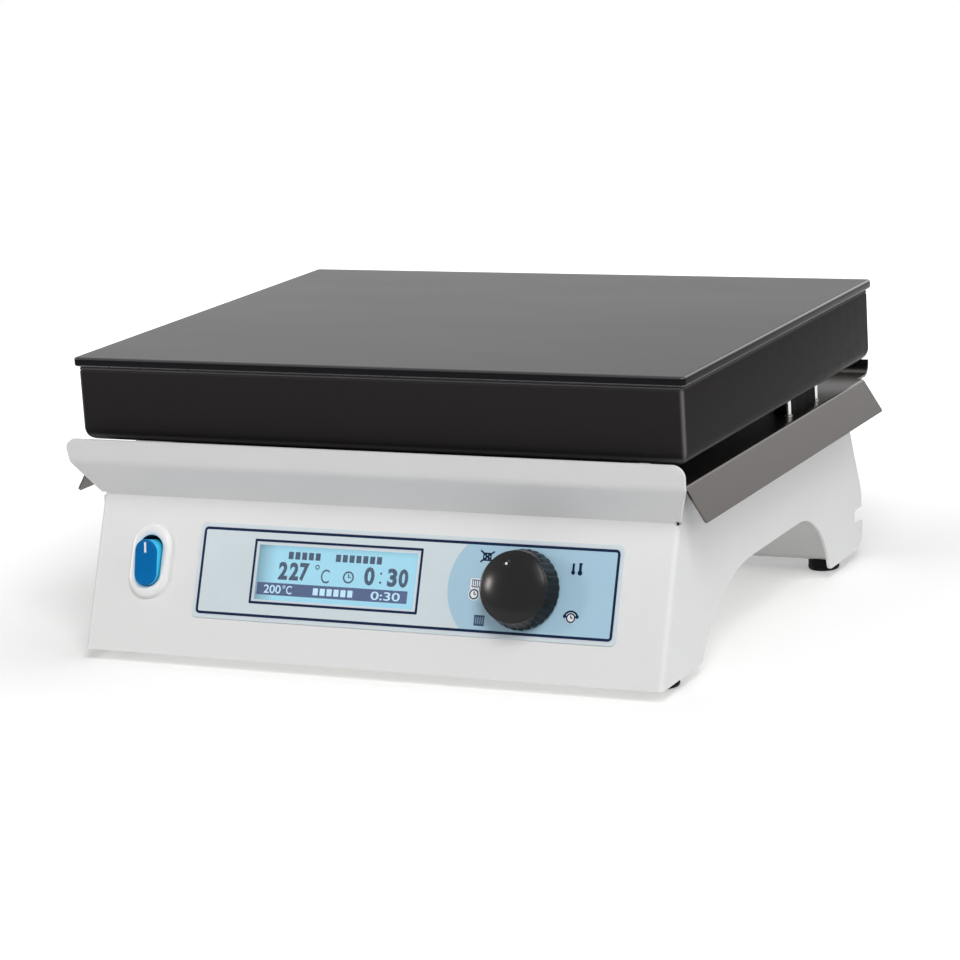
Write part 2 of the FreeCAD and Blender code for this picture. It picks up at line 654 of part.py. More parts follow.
def make_drip_shield():
    piece = new_body("drip_shield")
    wing_run = "2 * shield_edge"
    section = [("-shield_edge - wing_spread", "shield_top - wing_drop"), ("-shield_edge", "shield_top"),
               ("shield_edge", "shield_top"), ("shield_edge + wing_spread", "shield_top - wing_drop")]
    pad(piece, sketch_on(piece, "XZ_Plane", strip, section, "shield_thickness", -1,
                         level="-wing_back"), "wing_back - wing_front")
    edge = value("shield_edge")

    def wing_bend(line):
        return runs_along(line, 0, 1, 0) and near(abs(mid(line).x), edge)
    round_edges(piece, wing_bend, "wing_bend_radius")

    def wing_corner(line):
        flat = line.Curve.TypeId == "Part::GeomLine" and line.Length < value("2 * shield_thickness")
        return flat and abs(mid(line).x) > edge + value("wing_spread") / 2
    round_edges(piece, wing_corner, "wing_corner_radius")
    flange = [("wing_front + shield_thickness", "shield_top - shield_thickness / 2"),
              ("wing_front + shield_thickness", "shield_top - shield_front_drop")]
    front = sketch_on(piece, "YZ_Plane", strip, flange, "shield_thickness", -1)
    pad(piece, front, "2 * (half_chassis - 2 * chassis_wall)", middle=True)
    rear = [("wing_back - shield_thickness", "shield_top"),
            ("shield_back - shield_thickness", "shield_top"),
            ("shield_back - shield_thickness", "shield_top + shield_rear_rise")]
    back = sketch_on(piece, "YZ_Plane", strip, rear, "shield_thickness", -1)
    pad(piece, back, "2 * (shield_edge - shield_rear_inset)", middle=True)
    corner = value("shield_back - shield_thickness")
    low = value("shield_top")

    def rear_inner(line):
        return runs_along(line, 1, 0, 0) and near(mid(line).y, corner) and near(mid(line).z, low)

    def rear_outer(line):
        deep = value("shield_thickness")
        return (runs_along(line, 1, 0, 0) and near(mid(line).y, corner + deep)
                and near(mid(line).z, low - deep))
    round_edges(piece, rear_inner, "shield_rear_radius")
    round_edges(piece, rear_outer, "shield_rear_radius + shield_thickness")
    hole = sketch_on(piece, "XY_Plane", circle, "collar_diameter / 2 + collar_clearance",
                     level="shield_top")
    pocket(piece, hole, "4 * shield_thickness", middle=True)
    keep(place(piece), "drip_shield")


# Chassis, rear panel, base plate and feet

def make_chassis_shell():
    """Front panel, lip and both sides folded from one sheet, with arches between the legs."""
    piece = new_body("chassis_shell")
    side = [("panel_foot", "body_clearance"), ("ear_back", "body_clearance"),
            ("ear_back", "ear_taper_height"), ("ear_back - ear_taper_run", "chassis_top"),
            ("bend_line", "chassis_top"), ("bend_line", "bend_height")]
    pad(piece, sketch_on(piece, "YZ_Plane", outline, side), "2 * half_chassis", middle=True)
    back = value("ear_back")
    foot = value("body_clearance")
    slope = math.radians(value("panel_slope"))
    round_edges(piece, lambda edge: runs_along(edge, 0, math.sin(slope), math.cos(slope)),
                "chassis_bend_radius")
    round_edges(piece, lambda edge: runs_along(edge, 1, 0, 0) and near(mid(edge).y, back)
                and near(mid(edge).z, foot), "ear_foot_radius")
    round_edges(piece, lambda edge: runs_along(edge, 1, 0, 0) and near(mid(edge).y, back)
                and near(mid(edge).z, value("ear_taper_height")), "ear_taper_radius")
    ahead = "bend_line - 20"
    beyond = "ear_back + 20"
    below = "body_clearance - 5"
    inner_foot = "panel_foot + panel_skin + tan(panel_slope) * (body_clearance - (%s)) * -1" % below
    hollow = [(inner_foot, below), (beyond, below), (beyond, "chassis_top - chassis_wall"),
              (ahead, "chassis_top - chassis_wall"), (ahead, "bend_height + lip_root_height"),
              ("bend_line + panel_skin", "bend_height + lip_root_height"),
              ("bend_line + panel_skin", "bend_height")]
    pocket(piece, sketch_on(piece, "YZ_Plane", outline, hollow),
           "2 * (half_chassis - chassis_wall)", middle=True)
    opening = sketch_on(piece, "XY_Plane", rectangle, "-half_chassis + top_flange_width",
                        "half_chassis - top_flange_width", ahead, beyond, level="chassis_top")
    pocket(piece, opening, "2 * chassis_wall")
    cut_lip(piece)
    cut_sides(piece, below)
    cut_panel(piece)
    keep(place(piece), "chassis_shell")


def cut_lip(piece):
    """Fold the lip on above the panel, flare its ends, round its corners."""
    run = [("bend_line", "bend_height"), ("lip_middle_out", "lip_middle_up"),
           ("lip_end_out", "lip_end_up")]
    pad(piece, sketch_on(piece, "YZ_Plane", strip, run, "chassis_wall", -1), "2 * half_lip",
        middle=True)
    middle = value("lip_middle_up")
    top = value("lip_end_up")

    def fold(edge):
        return runs_along(edge, 1, 0, 0) and abs(mid(edge).z - middle) < 2 and mid(edge).y < value(
            "bend_line - 5")
    outer = value("lip_middle_out")
    round_edges(piece, lambda edge: fold(edge) and near(mid(edge).y, outer), "lip_bend_radius")
    round_edges(piece, lambda edge: fold(edge) and edge.Length > value("half_lip")
                and mid(edge).y > outer + 0.5 and abs(mid(edge).z - middle) < 1,
                "lip_bend_radius - chassis_wall")
    for side in (-1, 1):
        flare = [("%d * half_chassis" % side, "bend_height - 1"),
                 ("%d * half_chassis" % side, "bend_height"),
                 ("%d * (half_chassis + lip_low_flare)" % side, "lip_middle_up"),
                 ("%d * half_lip" % side, "lip_end_up + 1"),
                 ("%d * (half_lip + 5)" % side, "lip_end_up + 1"),
                 ("%d * (half_lip + 5)" % side, "bend_height - 1")]
        pocket(piece, sketch_on(piece, "XZ_Plane", outline, flare), "4 * half_depth", middle=True)
        slot = sketch_on(piece, "XZ_Plane", rectangle,
                         "%d * half_chassis - relief_width" % side,
                         "%d * half_chassis + relief_width" % side,
                         "bend_height - relief_height / 2", "bend_height + relief_height / 2",
                         level="-bend_line")
        pocket(piece, slot, "4 * chassis_wall", middle=True)

    def corner(edge):
        return (edge.Curve.TypeId == "Part::GeomLine" and edge.Length < value("2 * chassis_wall")
                and near(edge.BoundBox.XLength, 0) and mid(edge).z > top - 1)
    round_edges(piece, corner, "lip_corner_radius")


def cut_sides(piece, below):
    """Arches between the legs and the notches in the ears behind the rear panel."""
    front = "-arch_front_start - sqrt(arch_front_radius ^ 2 - (arch_front_radius - arch_height" \
            " + body_clearance) ^ 2)"
    rear = "arch_rear_start + sqrt(arch_rear_radius ^ 2 - (arch_rear_radius - arch_height" \
           " + body_clearance) ^ 2)"
    arch = [(front, below), (rear, below),
            (rear, "body_clearance", "arch_rear_start", "arch_height - arch_rear_radius", 1),
            ("arch_rear_start", "arch_height"),
            ("-arch_front_start", "arch_height", "-arch_front_start",
             "arch_height - arch_front_radius", 1),
            (front, "body_clearance")]
    pocket(piece, sketch_on(piece, "YZ_Plane", outline, arch), "4 * half_chassis", middle=True)
    ends = value(front), value(rear)
    foot = value("body_clearance")

    def leg_tip(edge):
        return (runs_along(edge, 1, 0, 0) and near(mid(edge).z, foot)
                and (near(mid(edge).y, ends[0]) or near(mid(edge).y, ends[1])))
    round_edges(piece, leg_tip, "leg_tip_radius")
    notch = sketch_on(piece, "YZ_Plane", rectangle, "ear_back - notch_depth", "ear_back + 5",
                      "notch_level", "notch_level + notch_height")
    pocket(piece, notch, "4 * half_chassis", middle=True)
    deep = value("ear_back - notch_depth")
    round_edges(piece, lambda edge: runs_along(edge, 1, 0, 0) and near(mid(edge).y, deep)
                and mid(edge).z < value("notch_level + notch_height + 1"), "notch_radius")


def cut_panel(piece):
    """Openings in the sloped panel for screen, encoder and switch,."""
    tilt = ((1, 0, 0), "90 - panel_slope")
    seat = {"y": "bend_line", "z": "bend_height"}
    cuts = [(centred, "screen_width + 2 * screen_margin", "screen_height + 2 * screen_margin",
             "screen_middle", "-screen_drop"),
            (circle, "bushing_diameter / 2 + bushing_play", "knob_offset", "-knob_drop"),
            (stadium, "switch_body_width + 2 * switch_play", "switch_body_height + 2 * switch_play",
             "-switch_offset", "-switch_drop")]
    for shape in cuts:
        pocket(piece, sketch_on(piece, "XY_Plane", *shape, level=seat, turn=tilt),
               "4 * chassis_wall", middle=True)


def make_rear_panel():
    piece = new_body("rear_panel")
    run = [("rear_face", "chassis_top - chassis_wall"), ("rear_face", "body_clearance"),
           ("rear_face + rear_flange", "body_clearance")]
    pad(piece, sketch_on(piece, "YZ_Plane", strip, run, "chassis_wall", 1),
        "2 * (half_chassis - chassis_wall)", middle=True)
    low = value("body_clearance")
    front = value("rear_face")
    wall = value("chassis_wall")
    round_edges(piece, lambda edge: runs_along(edge, 1, 0, 0) and near(mid(edge).z, low)
                and near(mid(edge).y, front), "rear_bend_radius + chassis_wall")
    round_edges(piece, lambda edge: runs_along(edge, 1, 0, 0) and near(mid(edge).z, low + wall)
                and near(mid(edge).y, front + wall), "rear_bend_radius")
    window = sketch_on(piece, "XZ_Plane", centred, "inlet_width + 2 * inlet_play",
                       "inlet_height + 2 * inlet_play", "-inlet_offset", "inlet_level",
                       level="-rear_face")
    pocket(piece, window, "4 * chassis_wall", middle=True)
    for number in range(int(value("vent_count"))):
        across = "vent_side + (%d - (vent_count - 1) / 2) * vent_pitch" % number
        slot = sketch_on(piece, "XZ_Plane", centred, "vent_width", "vent_length", across,
                         "vent_level", level="-rear_face")
        pocket(piece, slot, "4 * chassis_wall", middle=True)
    keep(place(piece), "rear_panel")


def make_base_plate():
    """Floor of the housing: flat behind the panel, a ramp inside the front legs, then level
    above the arches to the rear panel, with an upturned edge at each end."""
    piece = new_body("base_plate")
    inner = "panel_foot + panel_skin + tan(panel_slope) * (%s)"
    run = [(inner % "base_front_rise", "body_clearance + base_front_rise"),
           (inner % "0", "body_clearance"), ("base_bend", "body_clearance"),
           ("base_bend + base_ramp_run", "base_level"), ("rear_face", "base_level"),
           ("rear_face", "base_level + base_rear_rise")]
    pad(piece, sketch_on(piece, "YZ_Plane", strip, run, "base_wall", 1), "2 * base_half",
        middle=True)
    keep(place(piece), "base_plate")


def make_feet():
    for end, back in (("front", "foot_front"), ("rear", "foot_rear")):
        for name, side in (("left", -1), ("right", 1)):
            label = "foot_%s_%s" % (end, name)
            foot = rod(label, "foot_diameter / 2", "body_clearance")
            keep(place(foot, "%d * foot_side" % side, back), label)


# Control panel: film, screen, boards

def make_overlay_film():
    piece = new_body("overlay_film")
    middle = "-(film_top + film_height / 2)"
    pad(piece, sketch_on(piece, "XY_Plane", centred, "film_left + film_right", "film_height",
                         "film_middle", middle), "film_thickness")
    round_edges(piece, upright, "film_corner_radius")
    window = sketch_on(piece, "XY_Plane", centred, "screen_width", "screen_height",
                       "screen_middle", "-screen_drop")
    pocket(piece, window, "4 * film_thickness", middle=True)
    hole = sketch_on(piece, "XY_Plane", circle, "bushing_diameter / 2 + bushing_play",
                     "knob_offset", "-knob_drop")
    pocket(piece, hole, "4 * film_thickness", middle=True)
    keep(on_panel(piece), "overlay_film")


def make_screen():
    window = box("display_window", "screen_width", "screen_height", "film_thickness")
    keep(on_panel(window, "-screen_left", "screen_top + screen_height"), "display_window")
    frame = new_body("lcd_frame")
    pad(frame, sketch_on(frame, "XY_Plane", centred, "module_width", "module_height"),
        "module_depth", back=True)
    view = sketch_on(frame, "XY_Plane", centred, "screen_width + 2 * screen_margin",
                     "screen_height + 2 * screen_margin")
    pocket(frame, view, "4 * module_lens_gap", middle=True)
    room = sketch_on(frame, "XY_Plane", centred, "module_width - 2 * module_wall",
                     "module_height - 2 * module_wall", level="-module_depth")
    pocket(frame, room, "module_depth - module_lens_gap", back=True)
    keep(on_panel(frame, "screen_middle", "screen_drop", "-chassis_wall"), "lcd_frame")
    width = "module_width - 2 * (module_wall + module_play)"
    height = "module_height - 2 * (module_wall + module_play)"
    left = "screen_middle - (%s) / 2" % width
    low = "screen_drop + (%s) / 2" % height
    glass = box("lcd_glass", width, height, "module_glass")
    face = "-(chassis_wall + module_lens_gap + module_glass)"
    keep(on_panel(glass, left, low, face), "lcd_glass")
    light = box("lcd_backlight", width, height, "module_depth - module_lens_gap - module_glass")
    keep(on_panel(light, left, low, "-board_front"), "lcd_backlight")


def make_control_board():
    piece = new_body("control_board")
    pad(piece, sketch_on(piece, "XY_Plane", rectangle, "board_left", "board_right",
                         "-screen_drop - board_half_height", "-screen_drop + board_half_height"),
        "board_thickness", back=True)
    keep(on_panel(piece, out="-board_front"), "control_board")
    posts = []
    for x in ("board_left + board_spacer_inset", "board_right - board_spacer_inset"):
        for y in ("-screen_drop - board_half_height + board_spacer_inset",
                  "-screen_drop + board_half_height - board_spacer_inset"):
            spacer = post("board_spacer_%d" % len(posts), "board_spacer_width", "module_depth")
            posts.append(move(spacer, x, y))
    keep(on_panel(group("board_spacers", posts), out="-board_front"), "board_spacers")


# Encoder and knob

def make_encoder():
    piece = new_body("encoder_body")
    pad(piece, sketch_on(piece, "XY_Plane", centred, "encoder_width", "encoder_width",
                         level="-board_front"), "board_front - encoder_front")
    neck = sketch_on(piece, "XY_Plane", circle, "bushing_diameter / 2", level="-encoder_front")
    pad(piece, neck, "encoder_front + bushing_reach")
    bore = sketch_on(piece, "XY_Plane", circle, "shaft_diameter / 2 + shaft_play",
                     level="encoder_floor - board_front")
    pocket(piece, bore, "board_front - encoder_floor + bushing_reach + 1", back=True)
    keep(on_panel(piece, "knob_offset", "knob_drop"), "encoder_body")
    nut_piece = new_body("encoder_nut")
    half = "bushing_nut_width / 2"
    point = "bushing_nut_width / sqrt(3)"
    hexagon = [("-(%s)" % point, "0"), ("-(%s) / 2" % point, "-" + half),
               ("(%s) / 2" % point, "-" + half), (point, "0"), ("(%s) / 2" % point, half),
               ("-(%s) / 2" % point, half)]
    pad(nut_piece, sketch_on(nut_piece, "XY_Plane", outline, hexagon), "bushing_nut_height")
    hole = sketch_on(nut_piece, "XY_Plane", circle, "bushing_diameter / 2 + bushing_nut_play")
    pocket(nut_piece, hole, "4 * bushing_nut_height", middle=True)
    keep(on_panel(nut_piece, "knob_offset", "knob_drop", "film_thickness"), "encoder_nut")


def knob_ribs(sketch):
    """Ribbed outline: a crest and a valley for each rib."""
    count = int(value("knob_rib_count"))
    points = []
    for number in range(2 * count):
        reach = "(knob_radius - %d * knob_rib_depth)" % (number % 2)
        angle = "((%d + 0.5) * 180 / knob_rib_count)" % number
        points.append(("%s * cos(%s)" % (reach, angle), "%s * sin(%s)" % (reach, angle)))
    outline(sketch, points)


def make_knob():
    """Ribbed, slightly tapered skirt under a shallow dome, hollow at the back round a hub."""
    piece = new_body("knob")
    skirt = pad(piece, sketch_on(piece, "XY_Plane", knob_ribs, level="knob_base"),
                "knob_edge - knob_rib_margin - knob_base")
    bind(skirt, TaperAngle="-atan((knob_radius - knob_edge_radius) / knob_edge_height)")
    rim = "knob_edge - knob_rib_margin"
    section = [("0", rim), ("knob_edge_radius", rim), ("knob_edge_radius", "knob_edge - knob_bevel"),
               ("dome_half", "knob_edge"), ("dome_half * knob_crown_share", "knob_top"),
               ("0", "knob_top")]
    revolve(piece, sketch_on(piece, "XZ_Plane", outline, section))
    recess = sketch_on(piece, "XY_Plane", circle, "knob_recess_radius", level="knob_base")
    pocket(piece, recess, "knob_recess_depth", back=True)
    hub = sketch_on(piece, "XY_Plane", circle, "insert_diameter / 2", level="knob_base")
    pocket(piece, hub, "knob_hub_top - knob_base", back=True)
    seat = sketch_on(piece, "XY_Plane", circle, "dot_radius + dot_play", "-dot_left", "dot_up",
                     level="dot_level + 1")
    pocket(piece, seat, "dot_depth + 1")
    keep(on_panel(piece, "knob_offset", "knob_drop"), "knob")
    dot = rod("knob_dot", "dot_radius", "dot_depth - dot_sink / 2")
    keep(on_panel(dot, "knob_offset - dot_left", "knob_drop - dot_up", "dot_level - dot_depth"),
         "knob_dot")


def make_knob_core():
    """Encoder shaft with a flat, and the bush moulded into the knob that grips it."""
    shaft = new_body("encoder_shaft")
    pad(shaft, sketch_on(shaft, "XY_Plane", circle, "shaft_diameter / 2", level="shaft_foot"),
        "knob_hub_top - shaft_end_gap - shaft_foot")
    flat = sketch_on(shaft, "XY_Plane", rectangle, "-shaft_diameter", "shaft_diameter",
                     "shaft_diameter / 2 - shaft_flat", "shaft_diameter",
                     level="knob_hub_top")
    pocket(shaft, flat, "knob_hub_top - bushing_reach - 1")
    keep(on_panel(shaft, "knob_offset", "knob_drop"), "encoder_shaft")
    low = "knob_base + knob_recess_depth"
    bush = [("shaft_diameter / 2 + insert_play", low),
            ("insert_diameter / 2 - insert_play", low),
            ("insert_diameter / 2 - insert_play", "knob_hub_top"),
            ("shaft_diameter / 2 + insert_play", "knob_hub_top")]
    keep(on_panel(turned("knob_insert", bush), "knob_offset", "knob_drop"), "knob_insert")


# Mains switch

def make_switch():
    piece = new_body("switch_housing")
    pad(piece, sketch_on(piece, "XY_Plane", stadium, "bezel_width", "bezel_height"), "bezel_rise")
    bevel_edges(piece, at_level("bezel_rise"), "bezel_bevel")
    pad(piece, sketch_on(piece, "XY_Plane", stadium, "switch_body_width", "switch_body_height"),
        "switch_depth", back=True)
    well = sketch_on(piece, "XY_Plane", stadium, "well_width", "well_height", level="bezel_rise")
    pocket(piece, well, "bezel_rise + well_depth")
    bore = sketch_on(piece, "YZ_Plane", circle, "pivot_diameter / 2 + pivot_play", "0",
                     "-pivot_depth")
    pocket(piece, bore, "well_width + 2 * (pivot_reach + pivot_play)", middle=True)
    keep(on_panel(piece, "-switch_offset", "switch_drop"), "switch_housing")
    blades = []
    for number in (-1, 0, 1):
        blade = box("switch_blade_%d" % len(blades), "blade_width", "blade_thickness",
                    "blade_length")
        blades.append(move(blade, "-blade_width / 2",
                           "%d * blade_pitch - blade_thickness / 2" % number,
                           "-switch_depth - blade_length"))
    keep(on_panel(group("switch_blades", blades), "-switch_offset", "switch_drop"),
         "switch_blades")


def make_rocker():
    """Oval paddle with a shallow valley across its top, tilted about its pivot line.
    Its own origin is the pivot, and its upper end stands out at rest."""
    piece = new_body("rocker")
    pad(piece, sketch_on(piece, "XY_Plane", stadium, "rocker_width", "rocker_height",
                         level="-rocker_skirt"), "rocker_skirt + pivot_depth + rocker_rise + 2")
    half = "rocker_height / 2 + 1"
    end = "pivot_depth + rocker_rise"
    dip = "pivot_depth + rocker_valley"
    dish = sketch_on(piece, "YZ_Plane", outline,
                     [("-(%s)" % half, end), ("0", dip), (half, end), (half, end + " + 4"),
                      ("-(%s)" % half, end + " + 4")])
    pocket(piece, dish, "4 * rocker_width", middle=True)
    pins = sketch_on(piece, "YZ_Plane", circle, "pivot_diameter / 2")
    pad(piece, pins, "rocker_width + 2 * (rocker_play + pivot_reach)", middle=True)
    on_panel(piece, "-switch_offset", "switch_drop", "-pivot_depth")
    bind(piece, Placement__Rotation__Angle="90 - panel_slope + rocker_tilt")
    keep(piece, "rocker")


# Mains inlet at the back

def make_inlet():
    """Socket body set in the rear panel, its cavity open to the back, with three prongs."""
    piece = new_body("power_inlet")
    pad(piece, sketch_on(piece, "XY_Plane", centred, "inlet_width + 2 * inlet_ear",
                         "inlet_height + 2 * inlet_flange"), "inlet_flange_thickness")
    round_edges(piece, upright, "inlet_corner_radius")
    pad(piece, sketch_on(piece, "XY_Plane", centred, "inlet_width", "inlet_height"),
        "inlet_depth", back=True)
    cavity = sketch_on(piece, "XY_Plane", centred, "inlet_width - 2 * inlet_wall",
                       "inlet_height - 2 * inlet_wall", level="inlet_flange_thickness")
    pocket(piece, cavity, "inlet_cavity_depth")
    turn = ((1, 0, 0), -90)
    back = "rear_face + chassis_wall"
    keep(place(piece, "-inlet_offset", back, "inlet_level", turn=turn), "power_inlet")
    prongs = []
    for number in (-1, 0, 1):
        prong = box("inlet_prong_%d" % len(prongs), "prong_width", "prong_height",
                    "prong_length")
        lift = "prong_step" if number == 0 else "-prong_step / 2"
        prongs.append(move(prong, "%d * prong_pitch - prong_width / 2" % number,
                           "%s - prong_height / 2" % lift,
                           "inlet_flange_thickness - inlet_cavity_depth"))
        tail = box("inlet_tail_%d" % len(prongs), "prong_height", "prong_width / 2",
                   "prong_tail")
        prongs.append(move(tail, "%d * prong_pitch - prong_height / 2" % number,
                           "%s - prong_width / 4" % lift, "-inlet_depth - prong_tail"))
    keep(place(group("inlet_prongs", prongs), "-inlet_offset", back, "inlet_level", turn=turn),
         "inlet_prongs")


# Electronics on the base plate

def make_power_board():
    left = "base_half - power_board_right - power_board_width"
    board = box("power_board", "power_board_width", "power_board_depth", "board_thickness")
    keep(place(board, left, "-power_board_front", "base_floor + power_spacer_height"),
         "power_board")
    spacers = []
    for x in ("board_spacer_width", "power_board_width - board_spacer_width"):
        for y in ("board_spacer_width", "power_board_depth - board_spacer_width"):
            spacer = post("power_spacer_%d" % len(spacers), "board_spacer_width",
                          "power_spacer_height")
            spacers.append(move(spacer, x, y))
    keep(place(group("power_spacers", spacers), left, "-power_board_front", "base_floor"),
         "power_spacers")
    cans = []
    for number in range(2):
        can = rod("capacitor_%d" % number, "capacitor_diameter / 2", "capacitor_height")
        cans.append(move(can, "power_board_width * 0.75",
                         "power_board_depth * 0.3 + %d * 1.5 * capacitor_diameter" % number))
    keep(place(group("capacitors", cans), left, "-power_board_front",
               "base_floor + power_spacer_height + board_thickness"), "capacitors")


def make_power_relay():
    """Solid-state relay block with a lower step for its terminals at each end."""
    block = box("relay_block", "relay_width", "relay_depth", "relay_height")
    steps = []
    for number in range(2):
        step = box("relay_step_%d" % number, "relay_width", "relay_depth / 5", "relay_height")
        steps.append(move(step, "0", "%d * relay_depth * 4 / 5" % number,
                          "relay_height - relay_step"))
    cut = combine("Cut", "power_relay", block, group("relay_steps", steps))
    keep(place(cut, "-relay_left", "relay_front", "base_floor"), "power_relay")


def make_transformer():
    """Laminated core with two windows, and the coil round its middle limb."""
    core = new_body("transformer_core")
    pad(core, sketch_on(core, "XZ_Plane", rectangle, "0", "core_width", "0", "core_height"),
        "core_depth", back=True)
    room = "(core_width - core_middle - 2 * core_limb) / 2"
    windows = [("core_limb", "core_limb + " + room),
               ("core_width - core_limb - " + room, "core_width - core_limb")]
    for left, right in windows:
        hole = sketch_on(core, "XZ_Plane", rectangle, left, right, "core_limb",
                         "core_height - core_limb")
        pocket(core, hole, "3 * core_depth", middle=True)
    keep(place(core, "-core_left", "core_front", "base_floor"), "transformer_core")
    coil = new_body("transformer_coil")
    high = "core_height - 2 * (core_limb + coil_play)"
    around = sketch_on(coil, "XY_Plane", rectangle, "core_limb + coil_play",
                       "core_width - core_limb - coil_play", "-coil_overhang",
                       "core_depth + coil_overhang")
    pad(coil, around, high)
    hole = sketch_on(coil, "XY_Plane", rectangle, "(core_width - core_middle) / 2 - coil_play",
                     "(core_width + core_middle) / 2 + coil_play", "-coil_play",
                     "core_depth + coil_play")
    pocket(coil, hole, "3 * core_height", middle=True)
    keep(place(coil, "-core_left", "core_front", "base_floor + core_limb + coil_play"),
         "transformer_coil")


def make_terminal_block():
    block = box("terminal_block", "terminal_width", "terminal_depth", "terminal_height")
    keep(place(block, "-terminal_width / 2", "-terminal_depth / 2", "base_floor"),
         "terminal_block")
    leads = []
    for side in (-1, 1):
        lead = rod("heater_lead_%d" % len(leads), "lead_diameter / 2",
                   "pan_floor + collar_reach + lead_reach - base_floor"
                   " - terminal_height")
        leads.append(move(lead, "%d * lead_spacing / 2" % side, "0",
                          "base_floor + terminal_height"))
    keep(place(group("heater_leads", leads)), "heater_leads")


make_glass_plate()
make_glass_seal()
make_heater_pan()
make_insulation_tray()
make_heating_ribbon()
make_temperature_probe()
make_standoffs()
make_edge_spacers()
make_lead_collar()
make_drip_shield()
make_chassis_shell()
make_rear_panel()
make_base_plate()
make_feet()
make_overlay_film()
make_screen()
make_control_board()
make_encoder()
make_knob()
make_knob_core()
make_switch()
make_rocker()
make_inlet()
make_power_board()
make_power_relay()
make_transformer()
make_terminal_block()

doc.recompute()
for item in doc.Objects:
    if "Invalid" in item.State or "Error" in item.State:
        raise ValueError("%s failed: %s" % (item.Name, item.State))
os.makedirs("parts", exist_ok=True)
for item in KEPT:
    if item.Shape.isNull() or not item.Shape.isValid():
        raise ValueError("the shape of %s is not sound" % item.Label)
    item.Shape.exportStep("parts/%s.step" % item.Label)
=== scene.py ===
"""Looks of the laboratory hot plate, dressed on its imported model.

Places are worked out in millimetres and written to the meshes in metres.
"""

import json
import math

import bmesh
import bpy
import numpy as np
from mathutils import Matrix, Vector


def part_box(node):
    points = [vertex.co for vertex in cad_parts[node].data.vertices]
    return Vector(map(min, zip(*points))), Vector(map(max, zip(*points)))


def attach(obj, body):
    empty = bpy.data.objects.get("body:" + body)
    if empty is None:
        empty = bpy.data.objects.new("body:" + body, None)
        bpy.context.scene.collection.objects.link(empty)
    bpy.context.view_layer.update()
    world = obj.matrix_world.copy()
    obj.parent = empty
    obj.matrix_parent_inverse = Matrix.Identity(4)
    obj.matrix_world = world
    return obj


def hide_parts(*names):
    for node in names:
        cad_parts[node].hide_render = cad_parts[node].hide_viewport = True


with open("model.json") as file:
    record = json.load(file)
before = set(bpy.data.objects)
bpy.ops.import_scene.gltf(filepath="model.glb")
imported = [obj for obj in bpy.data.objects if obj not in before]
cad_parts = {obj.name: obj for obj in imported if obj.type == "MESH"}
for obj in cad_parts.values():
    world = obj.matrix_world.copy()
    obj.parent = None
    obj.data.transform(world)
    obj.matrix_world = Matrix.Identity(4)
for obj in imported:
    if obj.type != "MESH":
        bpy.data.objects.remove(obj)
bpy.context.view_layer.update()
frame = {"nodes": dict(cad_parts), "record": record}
nodes = frame["nodes"]
scene = bpy.context.scene


# Camera at the photograph's viewing angle

view = bpy.data.cameras.new("bench_view")
view.sensor_width = 36
view.lens = 125.06
view.clip_end = 30
camera = bpy.data.objects.new("bench_view", view)
camera.matrix_world = Matrix(((0.900044, -0.043512, 0.433621, 0.630793),
                              (0.43162, 0.226452, -0.873169, -1.275343),
                              (-0.0602, 0.97305, 0.222597, 0.380782),
                              (0, 0, 0, 1)))
scene.collection.objects.link(camera)
scene.camera = camera
scene.view_settings.view_transform = "Standard"


# Places on the sloped panel and on the rocker

SLOPE = math.radians(22.2)
FOLD_Y, FOLD_Z = -99.313, 67.1
SWITCH_ACROSS, SWITCH_DOWN, PIVOT_OUT = -105.7, 27.8, -3.5
ROCKER_TILT = math.radians(9)


def on_panel(across, down, out):
    """Points of the panel, from distances across from its middle, down from its fold and out
    from its sheet. The panel leans back by its slope."""
    across, down, out = np.broadcast_arrays(across, down, out)
    y = FOLD_Y - down * math.sin(SLOPE) - out * math.cos(SLOPE)
    z = FOLD_Z - down * math.cos(SLOPE) + out * math.sin(SLOPE)
    return np.stack([across, y, z], axis=-1)


def on_rocker(across, up, out):
    """Points of the rocker, from distances to its pivot. The rocker is turned about the pivot
    by its tilt, so that its upper end stands out."""
    lean = up * math.cos(ROCKER_TILT) - out * math.sin(ROCKER_TILT)
    rise = out * math.cos(ROCKER_TILT) + up * math.sin(ROCKER_TILT)
    return on_panel(SWITCH_ACROSS + across, SWITCH_DOWN - lean, PIVOT_OUT + rise)


# Surfaces

def skin(rings, loop=False):
    """Closed surface through closed rings of points. A quad joins two neighbours of one ring to
    the two of the next. In a loop the last ring is joined to the first, and otherwise the first
    and the last ring are filled with a fan to their middle."""
    rings = np.asarray(rings, float)
    count, around = rings.shape[:2]
    points = rings.reshape(-1, 3)
    ring, place = np.meshgrid(np.arange(count if loop else count - 1), np.arange(around),
                              indexing="ij")
    start, after = ring * around, (ring + 1) % count * around
    beside = (place + 1) % around
    quads = np.stack([start + place, start + beside, after + beside, after + place], axis=-1)
    quads = quads.reshape(-1, 4)
    fans = np.zeros((0, 3), int)
    if not loop:
        first, last = len(points), len(points) + 1
        points = np.vstack([points, rings[0].mean(axis=0), rings[-1].mean(axis=0)])
        edge = np.arange(around)
        turn = (edge + 1) % around
        far = (count - 1) * around
        fans = np.vstack([np.stack([turn, edge, np.full(around, first)], axis=1),
                          np.stack([far + edge, far + turn, np.full(around, last)], axis=1)])
    corners = np.vstack([quads[:, [0, 1, 2]], quads[:, [0, 2, 3]], fans])
    a, b, c = (points[corners[:, side]] for side in range(3))
    if np.einsum("ij,ij->", a - points[0], np.cross(b - points[0], c - points[0])) < 0:
        quads, fans = quads[:, ::-1], fans[:, ::-1]
    return points, quads.tolist() + fans.tolist()


